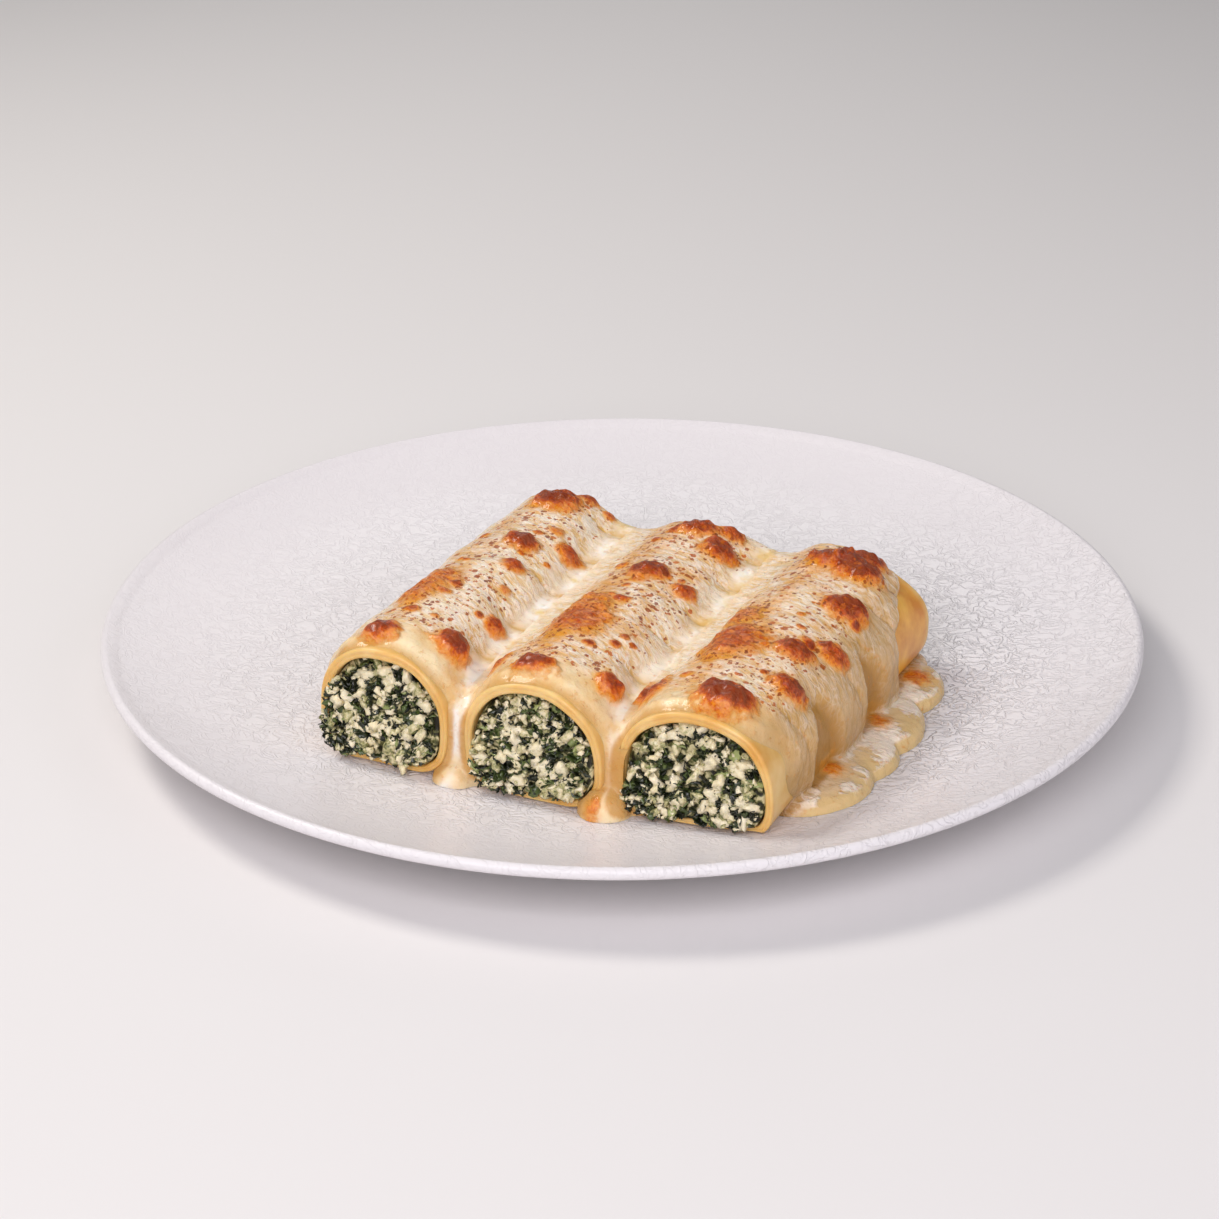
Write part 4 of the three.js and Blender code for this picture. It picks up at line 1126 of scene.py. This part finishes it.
toast_share = add_node(tree, "MapRange", inputs={"Value": toast_level, "From Min": 0.12, "From Max": 0.4})
browned = add_node(tree, "Mix", COLOURS, {0: toast_share, 6: golden, 7: toasted})
# Painted highlight: a pale lattice of lit wrinkles on the toasted caps.
glint_lattice_share = add_node(tree, "Math", MULTIPLY, {0: skin_and_sheen_level, 1: toast_share})
glint_lattice_weight = add_node(tree, "MapRange", inputs={"Value": field["toast"], "From Min": 0.5,
                                                    "From Max": 0.75, "To Min": 0.36, "To Max": 0.08})
glint_lattice_soft = add_node(tree, "Math", MULTIPLY, {0: glint_lattice_share, 1: glint_lattice_weight})
speckled = add_node(tree, "Mix", COLOURS, {0: glint_lattice_soft, 6: browned, 7: linear("#f4b070")})

# Grated cheese that has browned: specks of 0.3 to 1.2 mm, crowded on the crowns.
speck_warp = add_node(tree, "TexNoise", inputs={"Vector": place, "Scale": cells_of(0.7692)})
speck_place = add_node(tree, "Mix", PLACES, {0: 0.0013, 4: place, 5: speck_warp.outputs["Color"]})
density = add_node(tree, "TexNoise", inputs={"Vector": place, "Scale": cells_of(13.333), "Detail": 3})
density_level = add_node(tree, "MapRange", inputs={"Value": density.outputs["Fac"], "From Min": 0.35,
                                                   "From Max": 0.6, "To Min": 0.25, "To Max": 0.95})
crowded = add_node(tree, "Math", MULTIPLY, {0: field["crown"], 1: density_level})
for cell, most in ((1.2, 0.55), (2.1, 0.46)):
    grit = add_node(tree, "TexVoronoi", inputs={"Vector": speck_place, "Scale": cells_of(cell)})
    chance = add_node(tree, "SeparateColor", inputs={"Color": grit.outputs["Color"]})
    size = add_node(tree, "MapRange", inputs={"Value": chance.outputs["Green"], "To Min": 0.12,
                                              "To Max": most})
    inside = add_node(tree, "Math", SUBTRACT, {0: size, 1: grit.outputs["Distance"]})
    dot = add_node(tree, "MapRange", inputs={"Value": inside, "From Max": 0.09})
    picked = add_node(tree, "Math", {"operation": "LESS_THAN"}, {0: chance.outputs["Red"], 1: crowded})
    speck = add_node(tree, "Math", MULTIPLY, {0: dot, 1: picked})
    speck_soft = add_node(tree, "Math", MULTIPLY, {0: speck, 1: 0.85})
    tan = add_node(tree, "ValToRGB", inputs={"Fac": chance.outputs["Blue"]},
                   stops=[(0.0, linear("#7c2b00")), (1.0, linear("#c96412"))])
    speckled = add_node(tree, "Mix", COLOURS, {0: speck_soft, 6: speckled, 7: tan})

# The skin stands up in hairs and streaks, the blisters are crisp, and the hollows lie smooth and wet.
wrinkled = add_node(tree, "Math", MULTIPLY_ADD, {0: hair, 1: 0.22, 2: streaks.outputs["Fac"]})
wrinkled_skin = add_node(tree, "Math", MULTIPLY, {0: wrinkled, 1: skin_here})
roughened = add_node(tree, "MapRange", inputs={"Value": field["hollow"], "From Max": 0.8, "To Min": 0.5,
                                               "To Max": 0.12})
skin_height = add_node(tree, "Math", MULTIPLY_ADD, {0: ragged.outputs["Fac"], 1: roughened, 2: wrinkled_skin})
cap_wrinkle = add_node(tree, "Math", inputs={0: charring.outputs["Fac"], 1: streaks.outputs["Fac"]})
crisp = add_node(tree, "Math", MULTIPLY, {0: cap_wrinkle, 1: toast_share})
height = add_node(tree, "Math", MULTIPLY_ADD, {0: crisp, 1: 0.35, 2: skin_height})
bump = add_node(tree, "Bump", inputs={"Strength": 0.9, "Distance": 0.7 * MM, "Height": height})
wetness = add_node(tree, "MapRange", inputs={"Value": field["hollow"], "To Min": 0.27, "To Max": 0.2})
gloss = add_node(tree, "Mix", inputs={0: toast_share, 2: wetness, 3: 0.25})
shader = add_node(tree, "BsdfPrincipled", inputs={
    "Base Color": speckled, "Roughness": gloss, "Normal": bump, "IOR": 1.45, "Specular IOR Level": 0.24,
    "Subsurface Weight": 0.3, "Subsurface Radius": (1.0, 0.6, 0.3), "Subsurface Scale": 1.8 * MM,
    "Coat Weight": 0.25, "Coat Roughness": 0.06})
add_node(tree, "OutputMaterial", inputs={"Surface": shader})
sauce = add_piece("sauce_browned", sauce_bm, sauce_skin, ["sauce"])
sauce.data.set_sharp_from_angle(angle=math.radians(60))
